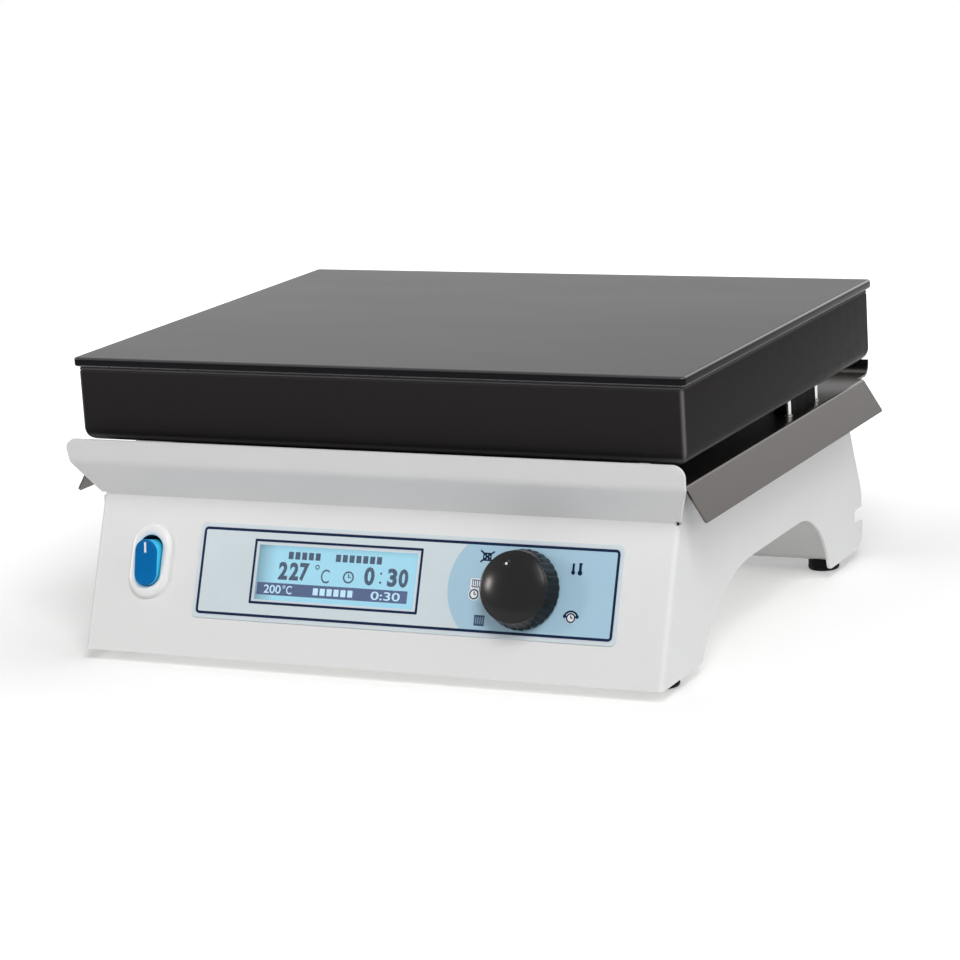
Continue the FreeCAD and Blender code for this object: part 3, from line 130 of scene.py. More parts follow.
def rounded(width, height, corner, steps=8):
    """Rounded rectangle round the middle: four quarter turns, joined by straight sides."""
    start = np.arange(4)[:, None] * 90
    turn = np.radians(start + np.linspace(0, 90, steps + 1))
    across = np.sign(np.cos(np.radians(start + 45))) * (width / 2 - corner)
    up = np.sign(np.sin(np.radians(start + 45))) * (height / 2 - corner)
    return (across + corner * np.cos(turn)).ravel(), (up + corner * np.sin(turn)).ravel()


OVAL_STEPS = 16
OVAL_AROUND = 4 * (OVAL_STEPS + 1)
BOX_STEPS = 6
BOX_AROUND = 4 * (BOX_STEPS + 1)


def oval(width, height):
    """Oval with straight sides and round ends."""
    return rounded(width, height, width / 2 - 0.01, OVAL_STEPS)


def arc(across, down, radius, start, stop, steps=24):
    """Points on an arc of the panel, its angles counted from the right and upwards."""
    turn = np.radians(np.linspace(start, stop, steps))
    return np.stack([across + radius * np.cos(turn), down - radius * np.sin(turn)], axis=1)


def plate(outline, low, high):
    """Thin flat plate: its outline on the panel at two levels, both filled."""
    across, down = outline
    return skin([on_panel(across, down, low), on_panel(across, down, high)])


def box_outline(left, right, top, bottom, corner=0.2):
    """Rounded rectangle between four sides on the panel."""
    across, up = rounded(right - left, bottom - top, corner, 3)
    return across + (left + right) / 2, (top + bottom) / 2 - up


def disc(across, down, radius, low, high):
    """Thin round plate on the panel."""
    return plate(arc(across, down, radius, 0, 360, 33)[:-1].T, low, high)


def band(outer, inner, low, high):
    """Closed line on the panel, between an outer and an inner outline and two levels."""
    return skin([on_panel(*outer, low), on_panel(*outer, high),
                 on_panel(*inner, high), on_panel(*inner, low)], loop=True)


def stroke(path, width, low, high):
    """Line of one width along a path on the panel: half of the width to each side of it."""
    path = np.asarray(path, float)
    run = np.gradient(path, axis=0)
    run /= np.linalg.norm(run, axis=1)[:, None]
    aside = np.stack([-run[:, 1], run[:, 0]], axis=1) * width / 2
    left, right = (path + aside).T, (path - aside).T
    return skin(np.stack([on_panel(*left, low), on_panel(*left, high),
                          on_panel(*right, high), on_panel(*right, low)], axis=1))


def pressed(steps, low, high, corner):
    """Shell round a box: a rounded rectangle for each inset and level, its corners smaller by the
    inset."""
    x, y, _ = (low + high) / 2
    width, depth, _ = high - low
    rings = []
    for inset, level in steps:
        across, back = rounded(width - 2 * inset, depth - 2 * inset, max(corner - inset, 0.2),
                               BOX_STEPS)
        rings.append(np.stack(np.broadcast_arrays(x + across, y + back, level), axis=-1))
    return skin(rings)


def quarter(radius, steps=5):
    """Shares of a quarter circle's radius, as pairs that run from one to nothing and back."""
    turn = np.radians(np.linspace(0, 90, steps))
    return radius * (1 - np.sin(turn)), radius * (1 - np.cos(turn))


def corners_of(node):
    """Lowest and highest corner of a node in millimetres."""
    return tuple(np.array(corner) * 1000 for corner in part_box(node))


def turned(profile, middle, around=64):
    """Surface of revolution about an upright axis: a circle for each radius and height."""
    radius, height = np.asarray(profile, float).T[:, :, None]
    turn = np.linspace(0, 2 * np.pi, around, endpoint=False)
    x, y, z = middle
    return skin(np.stack(np.broadcast_arrays(x + radius * np.cos(turn), y + radius * np.sin(turn),
                                             z + height), axis=-1))


def numeral(text, left, right, top, bottom, low, high, weight=0.0):
    """Number in the plain font, made a mesh and stretched to fill a box on the panel."""
    letters = bpy.data.curves.new("numeral", "FONT")
    letters.body = text
    letters.extrude = 0.1
    letters.offset = weight
    letters.resolution_u = 6
    mesh = bpy.data.meshes.new_from_object(bpy.data.objects.new("numeral", letters))
    shell = bmesh.new()
    shell.from_mesh(mesh)
    bmesh.ops.remove_doubles(shell, verts=shell.verts, dist=0.0001)
    bmesh.ops.recalc_face_normals(shell, faces=shell.faces)
    shell.to_mesh(mesh)
    shell.free()
    points = np.zeros(len(mesh.vertices) * 3)
    mesh.vertices.foreach_get("co", points)
    points = points.reshape(-1, 3)
    share = (points - points.min(axis=0)) / np.ptp(points, axis=0)
    across = left + share[:, 0] * (right - left)
    down = bottom - share[:, 1] * (bottom - top)
    out = low + share[:, 2] * (high - low)
    return on_panel(across, down, out), [tuple(face.vertices) for face in mesh.polygons]


def piece(name, skins, finish, body="root", stands_for=(), crease=35, highlight_share=None):
    """One object of the scene from closed surfaces given in millimetres. The highlight share is a
    share from 0 to 1 for each point, which its finish may read as a painted highlight."""
    starts = np.cumsum([0] + [len(points) for points, faces in skins])
    points = np.vstack([points for points, faces in skins]) * 0.001
    faces = [[int(start) + corner for corner in face]
             for start, (_, faces) in zip(starts, skins) for face in faces]
    mesh = bpy.data.meshes.new(name)
    mesh.from_pydata(points.tolist(), [], faces)
    mesh.materials.append(finish)
    if highlight_share is not None:
        mesh.attributes.new("painted_edge_highlight", "FLOAT", "POINT").data.foreach_set("value", highlight_share)
    mesh.shade_smooth()
    mesh.set_sharp_from_angle(angle=math.radians(crease))
    made = bpy.data.objects.new(name, mesh)
    scene.collection.objects.link(made)
    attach(made, body)
    if stands_for:
        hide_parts(*stands_for)
    return made


# Finishes

class Finish:
    """Procedural surface: one shader, with patterns read in the object's own metres."""

    def __init__(self, name, colour, roughness, **sockets):
        self.material = bpy.data.materials.new(name)
        self.material.use_nodes = True
        self.tree = self.material.node_tree
        self.shader = self.tree.nodes["Principled BSDF"]
        self.shader.inputs["Base Color"].default_value = (*colour, 1)
        self.shader.inputs["Roughness"].default_value = roughness
        for socket, value in sockets.items():
            self.shader.inputs[socket.replace("_", " ")].default_value = value
        self.place = self.add("ShaderNodeTexCoord").outputs["Object"]

    def add(self, kind, **settings):
        node = self.tree.nodes.new(kind)
        for name, value in settings.items():
            setattr(node, name, value)
        return node

    def link(self, source, target):
        self.tree.links.new(source, target)

    def grain(self, size, stretch=(1, 1, 1), detail=3):
        """Cloudy grain of a size in metres, drawn out by the stretch along each axis."""
        turn = self.add("ShaderNodeMapping")
        turn.inputs["Scale"].default_value = tuple(1 / (size * pull) for pull in stretch)
        self.link(self.place, turn.inputs["Vector"])
        noise = self.add("ShaderNodeTexNoise")
        noise.inputs["Scale"].default_value = 1
        noise.inputs["Detail"].default_value = detail
        self.link(turn.outputs["Vector"], noise.inputs["Vector"])
        return noise.outputs["Fac"]

    def cells(self, size, feature="F1"):
        """Distance to scattered points that lie about a size in metres apart."""
        points = self.add("ShaderNodeTexVoronoi", feature=feature)
        points.inputs["Scale"].default_value = 1 / size
        self.link(self.place, points.inputs["Vector"])
        return points.outputs["Distance"]

    def stripes(self, size, axis="X", wobble=0.0):
        """Even bands of a size in metres across an axis."""
        wave = self.add("ShaderNodeTexWave", bands_direction=axis)
        wave.inputs["Scale"].default_value = 0.314 / size
        wave.inputs["Distortion"].default_value = wobble
        self.link(self.place, wave.inputs["Vector"])
        return wave.outputs["Fac"]

    def along(self, axis, start, stop):
        """Share of the way from one place on an axis to another."""
        parts = self.add("ShaderNodeSeparateXYZ")
        self.link(self.place, parts.inputs["Vector"])
        return self.spread(parts.outputs[axis], 0, 1, start, stop)

    def spread(self, value, low, high, start=0.3, stop=0.7):
        """The value's range from start to stop, spread over low to high."""
        ramp = self.add("ShaderNodeMapRange")
        for socket, number in (("From Min", start), ("From Max", stop), ("To Min", low),
                               ("To Max", high)):
            ramp.inputs[socket].default_value = number
        self.link(value, ramp.inputs["Value"])
        return ramp.outputs["Result"]

    def shade(self, share, first, second, socket="Base Color"):
        """Colour between two shades by a share from 0 to 1."""
        mix = self.add("ShaderNodeMix", data_type="RGBA")
        mix.inputs["A"].default_value = (*first, 1)
        mix.inputs["B"].default_value = (*second, 1)
        self.link(share, mix.inputs["Factor"])
        self.link(mix.outputs["Result"], self.shader.inputs[socket])
        return self

    def polish(self, value, low, high):
        """Roughness between two values by a grain."""
        self.link(self.spread(value, low, high), self.shader.inputs["Roughness"])
        return self

    def relief(self, value, depth):
        """Fine relief of a depth in metres, laid over the relief that is there."""
        bump = self.add("ShaderNodeBump")
        bump.inputs["Strength"].default_value = 1
        bump.inputs["Distance"].default_value = depth
        self.link(value, bump.inputs["Height"])
        earlier = self.shader.inputs["Normal"].links
        if earlier:
            self.link(earlier[0].from_socket, bump.inputs["Normal"])
        self.link(bump.outputs["Normal"], self.shader.inputs["Normal"])
        return self


def lighter(colour, share):
    """The colour with each part raised by the share."""
    return tuple(min(1.0, part * (1 + share)) for part in colour)


def moulded(name, colour, roughness, size=0.0008, depth=0.00002, tint=0.12, **sockets):
    """Moulded or coated surface: slight clouds of tint, uneven polish and a fine-grained skin."""
    finish = Finish(name, colour, roughness, **sockets)
    finish.shade(finish.spread(finish.grain(0.03), 0, 1), colour, lighter(colour, tint))
    finish.polish(finish.grain(0.006), roughness * 0.88, roughness * 1.12)
    finish.relief(finish.grain(size), depth)
    return finish


def rolled(name, colour, roughness, stretch, tint=0.1, depth=0.000012, uneven=0.2):
    """Rolled or brushed metal: long fine scratches with clouds of tint over them."""
    finish = Finish(name, colour, roughness, Metallic=1.0)
    lines = finish.grain(0.0004, stretch, 5)
    finish.shade(finish.spread(finish.grain(0.02, stretch), 0, 1), colour, lighter(colour, tint))
    finish.polish(lines, roughness * (1 - uneven), roughness * (1 + uneven))
    finish.relief(lines, depth)
    return finish


def plate_glass():
    """Smooth black glass-ceramic: a satin skin with faint wipe marks and a very slow ripple."""
    finish = Finish("glass_ceramic", (0.011, 0.011, 0.012), 0.17, IOR=1.125)
    finish.polish(finish.grain(0.05, (3, 1, 1), 5), 0.14, 0.2)
    finish.shade(finish.spread(finish.cells(0.0012), 0, 1, 0.1, 0.5), (0.012, 0.0105, 0.013),
                 (0.009, 0.008, 0.01))
    finish.relief(finish.grain(0.012), 0.00001)
    return finish


def white_coat():
    """Powder coating: fine orange peel over a softer one, with a faint cloud of tint."""
    finish = moulded("white_coating", (0.81, 0.815, 0.815), 0.42, 0.0011, 0.00003, 0.02)
    finish.relief(finish.grain(0.004), 0.00004)
    return finish


def black_enamel():
    """Black enamel with a painted highlight on its edges, lighter by each point's highlight share,
    with a faint fine skin.
    """
    black, edge = (0.0205, 0.0187, 0.0195), (0.15, 0.145, 0.147)
    finish = Finish("black_enamel", black, 0.34, Specular_IOR_Level=0.01)
    edge_highlight = finish.add("ShaderNodeAttribute", attribute_name="painted_edge_highlight")
    # Lighter colour along the box's corners, bend and rim: painted highlight.
    finish.shade(edge_highlight.outputs["Fac"], black, edge)
    finish.polish(finish.grain(0.006), 0.3, 0.38)
    finish.relief(finish.grain(0.0011), 0.000008)
    return finish


def board_lacquer():
    """Circuit board: green lacquer over lighter tracks."""
    finish = Finish("board", (0.02, 0.16, 0.07), 0.35)
    tracks = finish.spread(finish.stripes(0.0025, "DIAGONAL", 3), 0, 1, 0.45, 0.55)
    finish.shade(tracks, (0.012, 0.11, 0.05), (0.03, 0.2, 0.09))
    finish.polish(finish.grain(0.003), 0.3, 0.42)
    finish.relief(tracks, 0.00003)
    return finish


def screen_light():
    """Backlit liquid-crystal glass with painted shade at its left end, where the frame's recess
    shades it, and a very fine dot raster.
    """
    finish = Finish("lcd", (0.12, 0.25, 0.3), 0.25, Emission_Strength=0.52,
                    Specular_IOR_Level=0.2)
    # Darker left end of the screen: painted shade.
    side = finish.along("X", -0.0546, -0.046)
    finish.shade(side, (0.2, 0.36, 0.46), (0.45, 0.92, 1.16), "Emission Color")
    finish.polish(finish.grain(0.0005), 0.2, 0.3)
    finish.relief(finish.stripes(0.0004), 0.000003)
    return finish


def clear_film():
    """Clear window in the film: a thin gloss layer that lets the screen show through."""
    finish = Finish("clear_window", (0.85, 0.93, 0.96), 0.2, Alpha=0.05)
    finish.polish(finish.grain(0.01), 0.15, 0.25)
    finish.relief(finish.grain(0.002), 0.000004)
    return finish


def core_plates():
    """Stacked core plates: fine dark bands between sheets of steel."""
    finish = Finish("core_steel", (0.2, 0.2, 0.21), 0.5, Metallic=0.6)
    sheets = finish.stripes(0.0005, "Y")
    finish.shade(sheets, (0.08, 0.08, 0.085), (0.26, 0.26, 0.27))
    finish.polish(finish.grain(0.004), 0.42, 0.6)
    finish.relief(sheets, 0.0001)
    return finish


NAVY = (0.006, 0.019, 0.06)
finishes = {
    "glass_ceramic": plate_glass(),
    "seal_rubber": moulded("seal_rubber", (0.015, 0.015, 0.015), 0.75, 0.0005),
    "black_enamel": black_enamel(),
    "fibre": moulded("fibre", (0.7, 0.68, 0.63), 0.95, 0.0012, 0.0002),
    "heater_alloy": rolled("heater_alloy", (0.28, 0.25, 0.22), 0.5, (30, 1, 1)),
    # Stainless darkened to the dim reflections it shows in the shaded gap under the heater box:
    # painted shade.
    "stainless": rolled("stainless", (0.096, 0.088, 0.084), 0.3, (1, 60, 1), 0.05, 0.000001, 0.06),
    "zinc_steel": rolled("zinc_steel", (0.6, 0.6, 0.58), 0.36, (8, 1, 1)),
    "white_coating": white_coat(),
    "foot_rubber": moulded("foot_rubber", (0.006, 0.006, 0.006), 0.7, 0.0006, 0.00004, 0.12,
                           Specular_IOR_Level=0.1),
    "panel_film": moulded("panel_film", (0.66, 0.75, 0.79), 0.38, 0.0004, 0.00001, 0.03),
    "clear_window": clear_film(),
    "lcd": screen_light(),
    "lcd_metal": moulded("lcd_metal", (0.02, 0.02, 0.022), 0.45, 0.0008),
    "light_guide": moulded("light_guide", (0.82, 0.88, 0.9), 0.3, 0.002),
    "board": board_lacquer(),
    "knob_plastic": moulded("knob_plastic", (0.002, 0.0018, 0.002), 0.22, 0.0005, 0.000002, 0.2,
                            Specular_IOR_Level=0.27),
    "white_plastic": moulded("white_plastic", (0.9, 0.9, 0.9), 0.22, 0.001, 0.00001, 0.02),
    "blue_plastic": moulded("blue_plastic", (0.002, 0.15, 0.42), 0.2, 0.001, 0.00001, 0.15,
                            Specular_IOR_Level=0.05),
    "black_plastic": moulded("black_plastic", (0.02, 0.02, 0.021), 0.5, 0.0006, 0.00003),
    "brass": rolled("brass", (0.62, 0.46, 0.2), 0.3, (1, 1, 8)),
    "ceramic": moulded("ceramic", (0.78, 0.74, 0.66), 0.28, 0.003, 0.00003),
    "lead_sleeve": moulded("lead_sleeve", (0.6, 0.56, 0.48), 0.6, 0.0006, 0.0001),
    "core_steel": core_plates(),
    "coil_tape": moulded("coil_tape", (0.55, 0.42, 0.07), 0.3, 0.002, 0.00005),
    "can_aluminium": rolled("can_aluminium", (0.7, 0.7, 0.72), 0.35, (1, 1, 20)),
}
field_blue = moulded("field_blue", (0.40, 0.61, 0.75), 0.38, 0.0004, 0.00001, 0.03)
line_navy = moulded("line_navy", NAVY, 0.35, 0.0004, 0.00001, 0.12,
                    Specular_IOR_Level=0.1)
line_silver = moulded("line_silver", (0.62, 0.66, 0.74), 0.3, 0.0004, 0.00001)
print_grey = moulded("print_grey", (0.08, 0.12, 0.21), 0.4, 0.0004, 0.00001, 0.12,
                     Specular_IOR_Level=0.1)
print_white = moulded("print_white", (0.84, 0.87, 0.9), 0.4, 0.0004, 0.00001)
segment_dark = moulded("segment_dark", (0.025, 0.06, 0.13), 0.3, 0.0004, 0.00001, 0.12,
                       Specular_IOR_Level=0.1)
band_dark = moulded("band_dark", (0.05, 0.09, 0.24), 0.3, 0.0004, 0.00001, 0.12,
                    Specular_IOR_Level=0.1)
segment_light = Finish("segment_light", (0.3, 0.5, 0.6), 0.3, Emission_Strength=0.5)
segment_light.shade(segment_light.spread(segment_light.grain(0.002), 0, 1), (0.5, 0.72, 0.86),
                    (0.6, 0.8, 0.92), "Emission Color")
polished_edge = moulded("polished_edge", (0.02, 0.02, 0.021), 0.12, 0.0005, 0.000002)
# Dark blue for the bezel's well wall round the rocker: painted shade in the gap.
well_painted_shade = moulded("well_painted_shade", (0.006, 0.03, 0.07), 0.4, 0.0005, 0.000005)
# Matt near-black for the spacer blocks under the heater box: their own black, deepened as painted
# shade of the gap.
spacer_black_and_shade = moulded("spacer_black_and_shade", (0.01, 0.01, 0.01), 0.6, 0.0005, Specular_IOR_Level=0.02)
# Lighter grey for the glass plate's lower arris: painted highlight.
painted_edge_glint = moulded("painted_edge_glint", (0.1, 0.1, 0.105), 0.3, 0.0005, 0.000005)
# Cyan for the rocker's walls: painted light on the lit side of the blue plastic.
rocker_painted_light = moulded("rocker_painted_light", (0.05, 0.6, 0.95), 0.16, 0.001, 0.00001, 0.1)

for entry in frame["record"]["subparts"]:
    shape = nodes[entry["node"]].data
    shape.materials.clear()
    shape.materials.append(finishes[entry["material_slot"]].material)
# Spacer blocks: black, and darker still as painted shade in the gap.
nodes["edge_blocks"].data.materials[0] = spacer_black_and_shade.material


# Print on the film

PRINT_LOW, FIELD_HIGH, LINE_HIGH, MARK_HIGH = 0.44, 0.52, 0.54, 0.56
LINE_LEFT, LINE_RIGHT, LINE_TOP, LINE_BOTTOM = -80.9, 109.6, 11.7, 48.5


def frame_line(left, right, top, bottom, corner, width, high=LINE_HIGH):
    """Line of one width round a rounded rectangle."""
    outer = box_outline(left, right, top, bottom, corner)
    inner = box_outline(left + width, right - width, top + width, bottom - width,
                        max(corner - width, 0.1))
    return band(outer, inner, PRINT_LOW, high)


def blue_field():
    """Pale blue field: an arc at the left, then straight along the border line to its end."""
    middle, radius = 30.1, 24.4
    half = (LINE_BOTTOM - LINE_TOP) / 2 - 0.5
    sweep = math.degrees(math.asin(half / radius))
    left = arc(59.6, middle, radius, 180 - sweep, 180 + sweep, 33)
    right = np.array([[LINE_RIGHT - 1.6, middle + half], [LINE_RIGHT - 0.5, middle + half - 1.2],
                      [LINE_RIGHT - 0.5, middle - half + 1.2], [LINE_RIGHT - 1.6, middle - half]])
    return plate(np.vstack([left, right]).T, PRINT_LOW, FIELD_HIGH)


piece("print_field", [blue_field()], field_blue.material)
piece("print_border", [frame_line(LINE_LEFT, LINE_RIGHT, LINE_TOP, LINE_BOTTOM, 1.8, 1.15),
                       frame_line(-56.0, 22.6, 15.7, 42.9, 0.4, 1.05)],
      line_navy.material)
piece("print_highlight", [frame_line(LINE_LEFT - 0.55, LINE_RIGHT + 0.55, LINE_TOP - 0.55,
                                     LINE_BOTTOM + 0.55, 2.3, 0.45, FIELD_HIGH),
                          frame_line(-55.2, 21.8, 16.5, 42.1, 0.4, 0.8, FIELD_HIGH)],
      line_silver.material)


def ink(path, width, above=0.0):
    """Printed line on the film, a little above the others where it crosses them."""
    return stroke(path, width, PRINT_LOW, MARK_HIGH + above)


def spot(across, down, radius):
    """Printed round spot on the film."""
    return disc(across, down, radius, PRINT_LOW, MARK_HIGH)


def heater_mark(left, top, width, height, bars, thick):
    """Heater sign: upright bars side by side, joined along top and bottom."""
    places = np.linspace(left + thick / 2, left + width - thick / 2, bars)
    marks = [ink([(x, top), (x, top + height)], thick) for x in places]
    for down in (top + thick / 2, top + height - thick / 2):
        marks.append(ink([(left, down), (left + width, down)], thick))
    return marks


def clock_mark(across, down, radius, thick):
    """Clock sign: a ring with two hands."""
    return [ink(arc(across, down, radius, 0, 360, 40), thick),
            ink([(across, down), (across, down - radius * 0.62)], thick * 0.8, 0.01),
            ink([(across, down), (across + radius * 0.5, down)], thick * 0.8, 0.01)]


def thermometer_mark(across, top, height, thick):
    """Thermometer sign: a stem over a round bulb."""
    return [ink([(across, top), (across, top + height)], thick),
            spot(across, top + height, thick * 0.85)]


crossed = heater_mark(49.6, 15.9, 3.8, 3.4, 4, 0.6)
crossed += [ink([(48.4, 15.1), (54.8, 19.9)], 0.7, 0.01),
            ink([(54.6, 15.3), (48.6, 19.8)], 0.7, 0.01)]
timed = clock_mark(90.9, 40.1, 1.75, 0.6)
timed += [ink(arc(90.9, 40.5, 3.1, 25, 155), 0.75), spot(88.2, 39.5, 0.75),
          spot(93.6, 39.5, 0.75)]
piece("print_marks", crossed + timed + clock_mark(47.3, 33.1, 1.85, 0.55)
      + thermometer_mark(89.9, 18.2, 3.7, 1.0) + thermometer_mark(92.9, 18.2, 3.7, 1.2)
      + [ink([(92.2, 18.2), (93.7, 18.2)], 0.6, 0.01)],
      line_navy.material)
piece("print_patches", [plate(box_outline(45.3, 50.4, 26.6, 30.9, 0.3), PRINT_LOW, LINE_HIGH),
                        disc(47.3, 33.1, 2.5, PRINT_LOW, LINE_HIGH),
                        disc(90.9, 40.1, 2.2, PRINT_LOW, LINE_HIGH)],
      print_white.material)
piece("print_heaters", heater_mark(45.9, 27.1, 4.0, 3.2, 5, 0.4)
      + heater_mark(48.5, 41.4, 4.6, 4.3, 5, 0.74), print_grey.material)


# Figures on the screen

LIT_LOW, LIT_HIGH = -1.62, -1.55
BAND_HIGH, BAND_MARK_HIGH = -1.58, -1.54


def bar_row(left, right, top, bottom, count, gaps, high):
    """Row of equal blocks with narrow gaps, and with the blocks named in gaps left out."""
    pitch = (right - left) / count
    return [plate(box_outline(left + pitch * number, left + pitch * (number + 0.72), top, bottom,
                              0.15), LIT_LOW, high)
            for number in range(count) if number not in gaps]


LARGE_FIGURES = [("2", -44.6, -40.3, 24.5, 32.0, 0.045), ("2", -39.4, -35.1, 24.5, 32.0, 0.045),
                 ("7", -34.7, -30.3, 24.5, 32.0, 0.045), ("C", -24.4, -20.5, 26.6, 32.4, 0.0),
                 ("0", -4.3, 0.4, 24.5, 32.1, 0.04), ("3", 6.4, 10.8, 24.5, 32.1, 0.045),
                 ("0", 11.6, 15.9, 24.5, 32.1, 0.04)]
dark = bar_row(-40.6, 3.9, 20.1, 23.2, 14, (5, 6), LIT_HIGH)
dark += [numeral(*place, LIT_LOW, LIT_HIGH, weight) for *place, weight in LARGE_FIGURES]
dark += [stroke(arc(-26.5, 25.9, 0.8, 0, 360), 0.45, LIT_LOW, LIT_HIGH),
         stroke(arc(-11.6, 29.3, 2.2, 0, 360, 40), 0.7, LIT_LOW, LIT_HIGH),
         stroke([(-11.6, 29.5), (-11.6, 27.9)], 0.45, LIT_LOW, LIT_HIGH + 0.01),
         stroke([(-11.8, 29.3), (-10.4, 29.3)], 0.45, LIT_LOW, LIT_HIGH + 0.01),
         disc(3.3, 26.9, 0.5, LIT_LOW, LIT_HIGH), disc(3.3, 30.6, 0.5, LIT_LOW, LIT_HIGH)]
piece("screen_figures", dark, segment_dark.material)
piece("screen_band", [plate(box_outline(-54.0, 16.3, 33.5, 38.7), LIT_LOW, BAND_HIGH)],
      band_dark.material)
light = bar_row(-27.4, -8.0, 34.7, 37.6, 6, (), BAND_MARK_HIGH)
light += [numeral("200", -50.6, -42.6, 34.4, 37.9, LIT_LOW, BAND_MARK_HIGH, 0.01),
          stroke(arc(-41.2, 35.0, 0.5, 0, 360), 0.3, LIT_LOW, BAND_MARK_HIGH),
          numeral("C", -40.0, -37.4, 34.4, 37.9, LIT_LOW, BAND_MARK_HIGH, 0.01),
          numeral("0:30", -0.4, 13.0, 34.4, 37.9, LIT_LOW, BAND_MARK_HIGH, 0.01)]
piece("screen_band_figures", light, segment_light.material)


# Knob

KNOB_ACROSS, KNOB_DOWN = 68.7, 30.1
DOT_ACROSS, DOT_UP = -3.2, 9.0
RIBS, DOT_AROUND = 32, 32


def knob_skin():
    """Ribbed knob. Its radius falls evenly with height, less a groove's depth times the cube of
    half of one plus the cosine of as many turns as there are ribs. The edge is a quarter circle
    and the top a dome, one less a power of the radius' share, with a round dimple at the dot.
    Inside are a wide recess and a hub bore."""
    turn = np.linspace(0, 2 * np.pi, RIBS * 12, endpoint=False)
    valley = ((1 + np.cos(RIBS * turn)) / 2) ** 3
    bend = np.radians(np.linspace(0, 90, 7))
    share = np.linspace(1, 0.02, 40)
    rise = np.linspace(0, 7.9, 12)
    radius = np.concatenate([[0.3, 4.97, 4.97, 11.97, 12, 16.3], 16.55 - 0.21 * rise,
                             14.2 + 0.65 * np.cos(bend[1:]), 14.2 * share[1:]])
    height = np.concatenate([[9.8, 9.8, 6.3, 6.3, 1.35, 1.35], 1.6 + rise,
                             9.6 + 0.65 * np.sin(bend[1:]), 10.25 + 2.5 * (1 - share[1:] ** 2.4)])
    ribbed = np.concatenate([np.zeros(5), [0.6], np.ones(11), [0.4], np.zeros(45)])
    radius = radius[:, None] - 0.22 * ribbed[:, None] * valley
    across, up = radius * np.cos(turn), radius * np.sin(turn)
    off = np.hypot(across - DOT_ACROSS, up - DOT_UP)
    outer = (height > 10.3)[:, None]
    height = height[:, None] - np.where(outer, 0.45 * np.exp(-(off / 1.3) ** 4), 0)
    return skin(on_panel(KNOB_ACROSS + across, KNOB_DOWN - up, height))


def dot_skin():
    """Paint dot: a round plug in the knob with a dark rim round a small raised white middle."""
    profile = [(0.84, 10.8), (0.84, 11.7), (0.72, 11.76), (0.56, 11.7), (0.5, 11.8), (0.3, 11.86)]
    turn = np.linspace(0, 2 * np.pi, DOT_AROUND, endpoint=False)
    return skin([on_panel(KNOB_ACROSS + DOT_ACROSS + radius * np.cos(turn),
                          KNOB_DOWN - DOT_UP - radius * np.sin(turn), height)
                 for radius, height in profile])


def second_finish(made, finish, faces):
    """Give some faces of a piece another finish."""
    made.data.materials.append(finish)
    index = np.zeros(len(made.data.polygons), np.int32)
    made.data.polygons.foreach_get("material_index", index)
    index[faces] = len(made.data.materials) - 1
    made.data.polygons.foreach_set("material_index", index)


piece("knob_cap", [knob_skin()], finishes["knob_plastic"].material, "knob",
      ("knob",), 50)
dot = piece("knob_paint_dot", [dot_skin()], finishes["knob_plastic"].material,
            "knob", ("knob_dot",), 30)
second_finish(dot, print_white.material, slice(DOT_AROUND * 3, None))


# Switch

def bezel_skin():
    """Oval bezel with a crowned ring round its well, and the switch's body behind the panel. Each
    ring is an oval of a width, a height and a level."""
    rings = [(11.6, 22, -11), (11.6, 22, 1.0), (11.75, 22.15, 1.35), (12.2, 22.7, 1.6),
             (13.4, 24.4, 1.95), (14.8, 26.4, 2.15), (16.2, 28.4, 2.1), (17.3, 29.9, 1.85),
             (18.1, 30.9, 1.45), (18.6, 31.5, 0.95), (18.8, 31.8, 0.4), (18.8, 31.8, 0.02),
             (16.3, 29.3, 0.0), (16.3, 29.3, -17)]
    return skin([on_panel(SWITCH_ACROSS + across, SWITCH_DOWN - up, level)
                 for width, height, level in rings for across, up in [oval(width, height)]])


def rocker_top(up):
    """Height over the pivot of a valley that rises to both ends."""
    return 8.05 + 0.95 * np.abs(up / 9.8) ** 1.6


def rocker_skin():
    """Rocker: upright sides, an edge of a quarter circle and a face. The round ends of the face
    have the valley's height. Between them the face is level, a little above the valley."""
    bend = np.radians(np.linspace(0, 90, 7))
    inset = np.concatenate([[0, 0, 0, 0], 0.9 * (1 - np.cos(bend)), [1.4, 2.4, 3.4, 4.4, 5.0]])
    drop = np.concatenate([[0, 0, 0, 0], 0.9 * (1 - np.sin(bend)), np.zeros(5)])
    wall = np.concatenate([[0, 0.3, 0.6, 0.9], np.ones(12)])
    rings = []
    for side, fall, share in zip(inset, drop, wall):
        across, up = oval(10.7 - 2 * side, 19.6 - 2 * side)
        top = rocker_top(up) - fall
        if share < 1:
            top = -4 + share * (rocker_top(up) - 0.9 + 4)
        rings.append(on_rocker(across, up, top))
    return skin(rings)


def rocker_line():
    """White line on the rocker: a flat bar that follows the valley. It shows on the upper round
    end, and its lower half lies under the level part of the face."""
    up = np.linspace(-0.4, 8.6, 16)
    top = rocker_top(up)
    rings = [on_rocker(side, up, top + level)
             for side, level in ((-0.5, -0.2), (-0.5, 0.04), (0.5, 0.04), (0.5, -0.2))]
    return skin(np.stack(rings, axis=1))


bezel = piece("switch_bezel", [bezel_skin()], finishes["white_plastic"].material,
              stands_for=("switch_housing",), crease=60)
# Well wall round the rocker in dark blue: painted shade.
second_finish(bezel, well_painted_shade.material, slice(0, OVAL_AROUND * 2))
rocker_cap = piece("rocker_cap", [rocker_skin()], finishes["blue_plastic"].material,
                   "rocker", ("rocker",), 60)
# Cyan walls of the blue rocker: painted light.
second_finish(rocker_cap, rocker_painted_light.material, slice(0, OVAL_AROUND * 4))
piece("rocker_mark", [rocker_line()], print_white.material, "rocker")


# Plate, heater box and pins

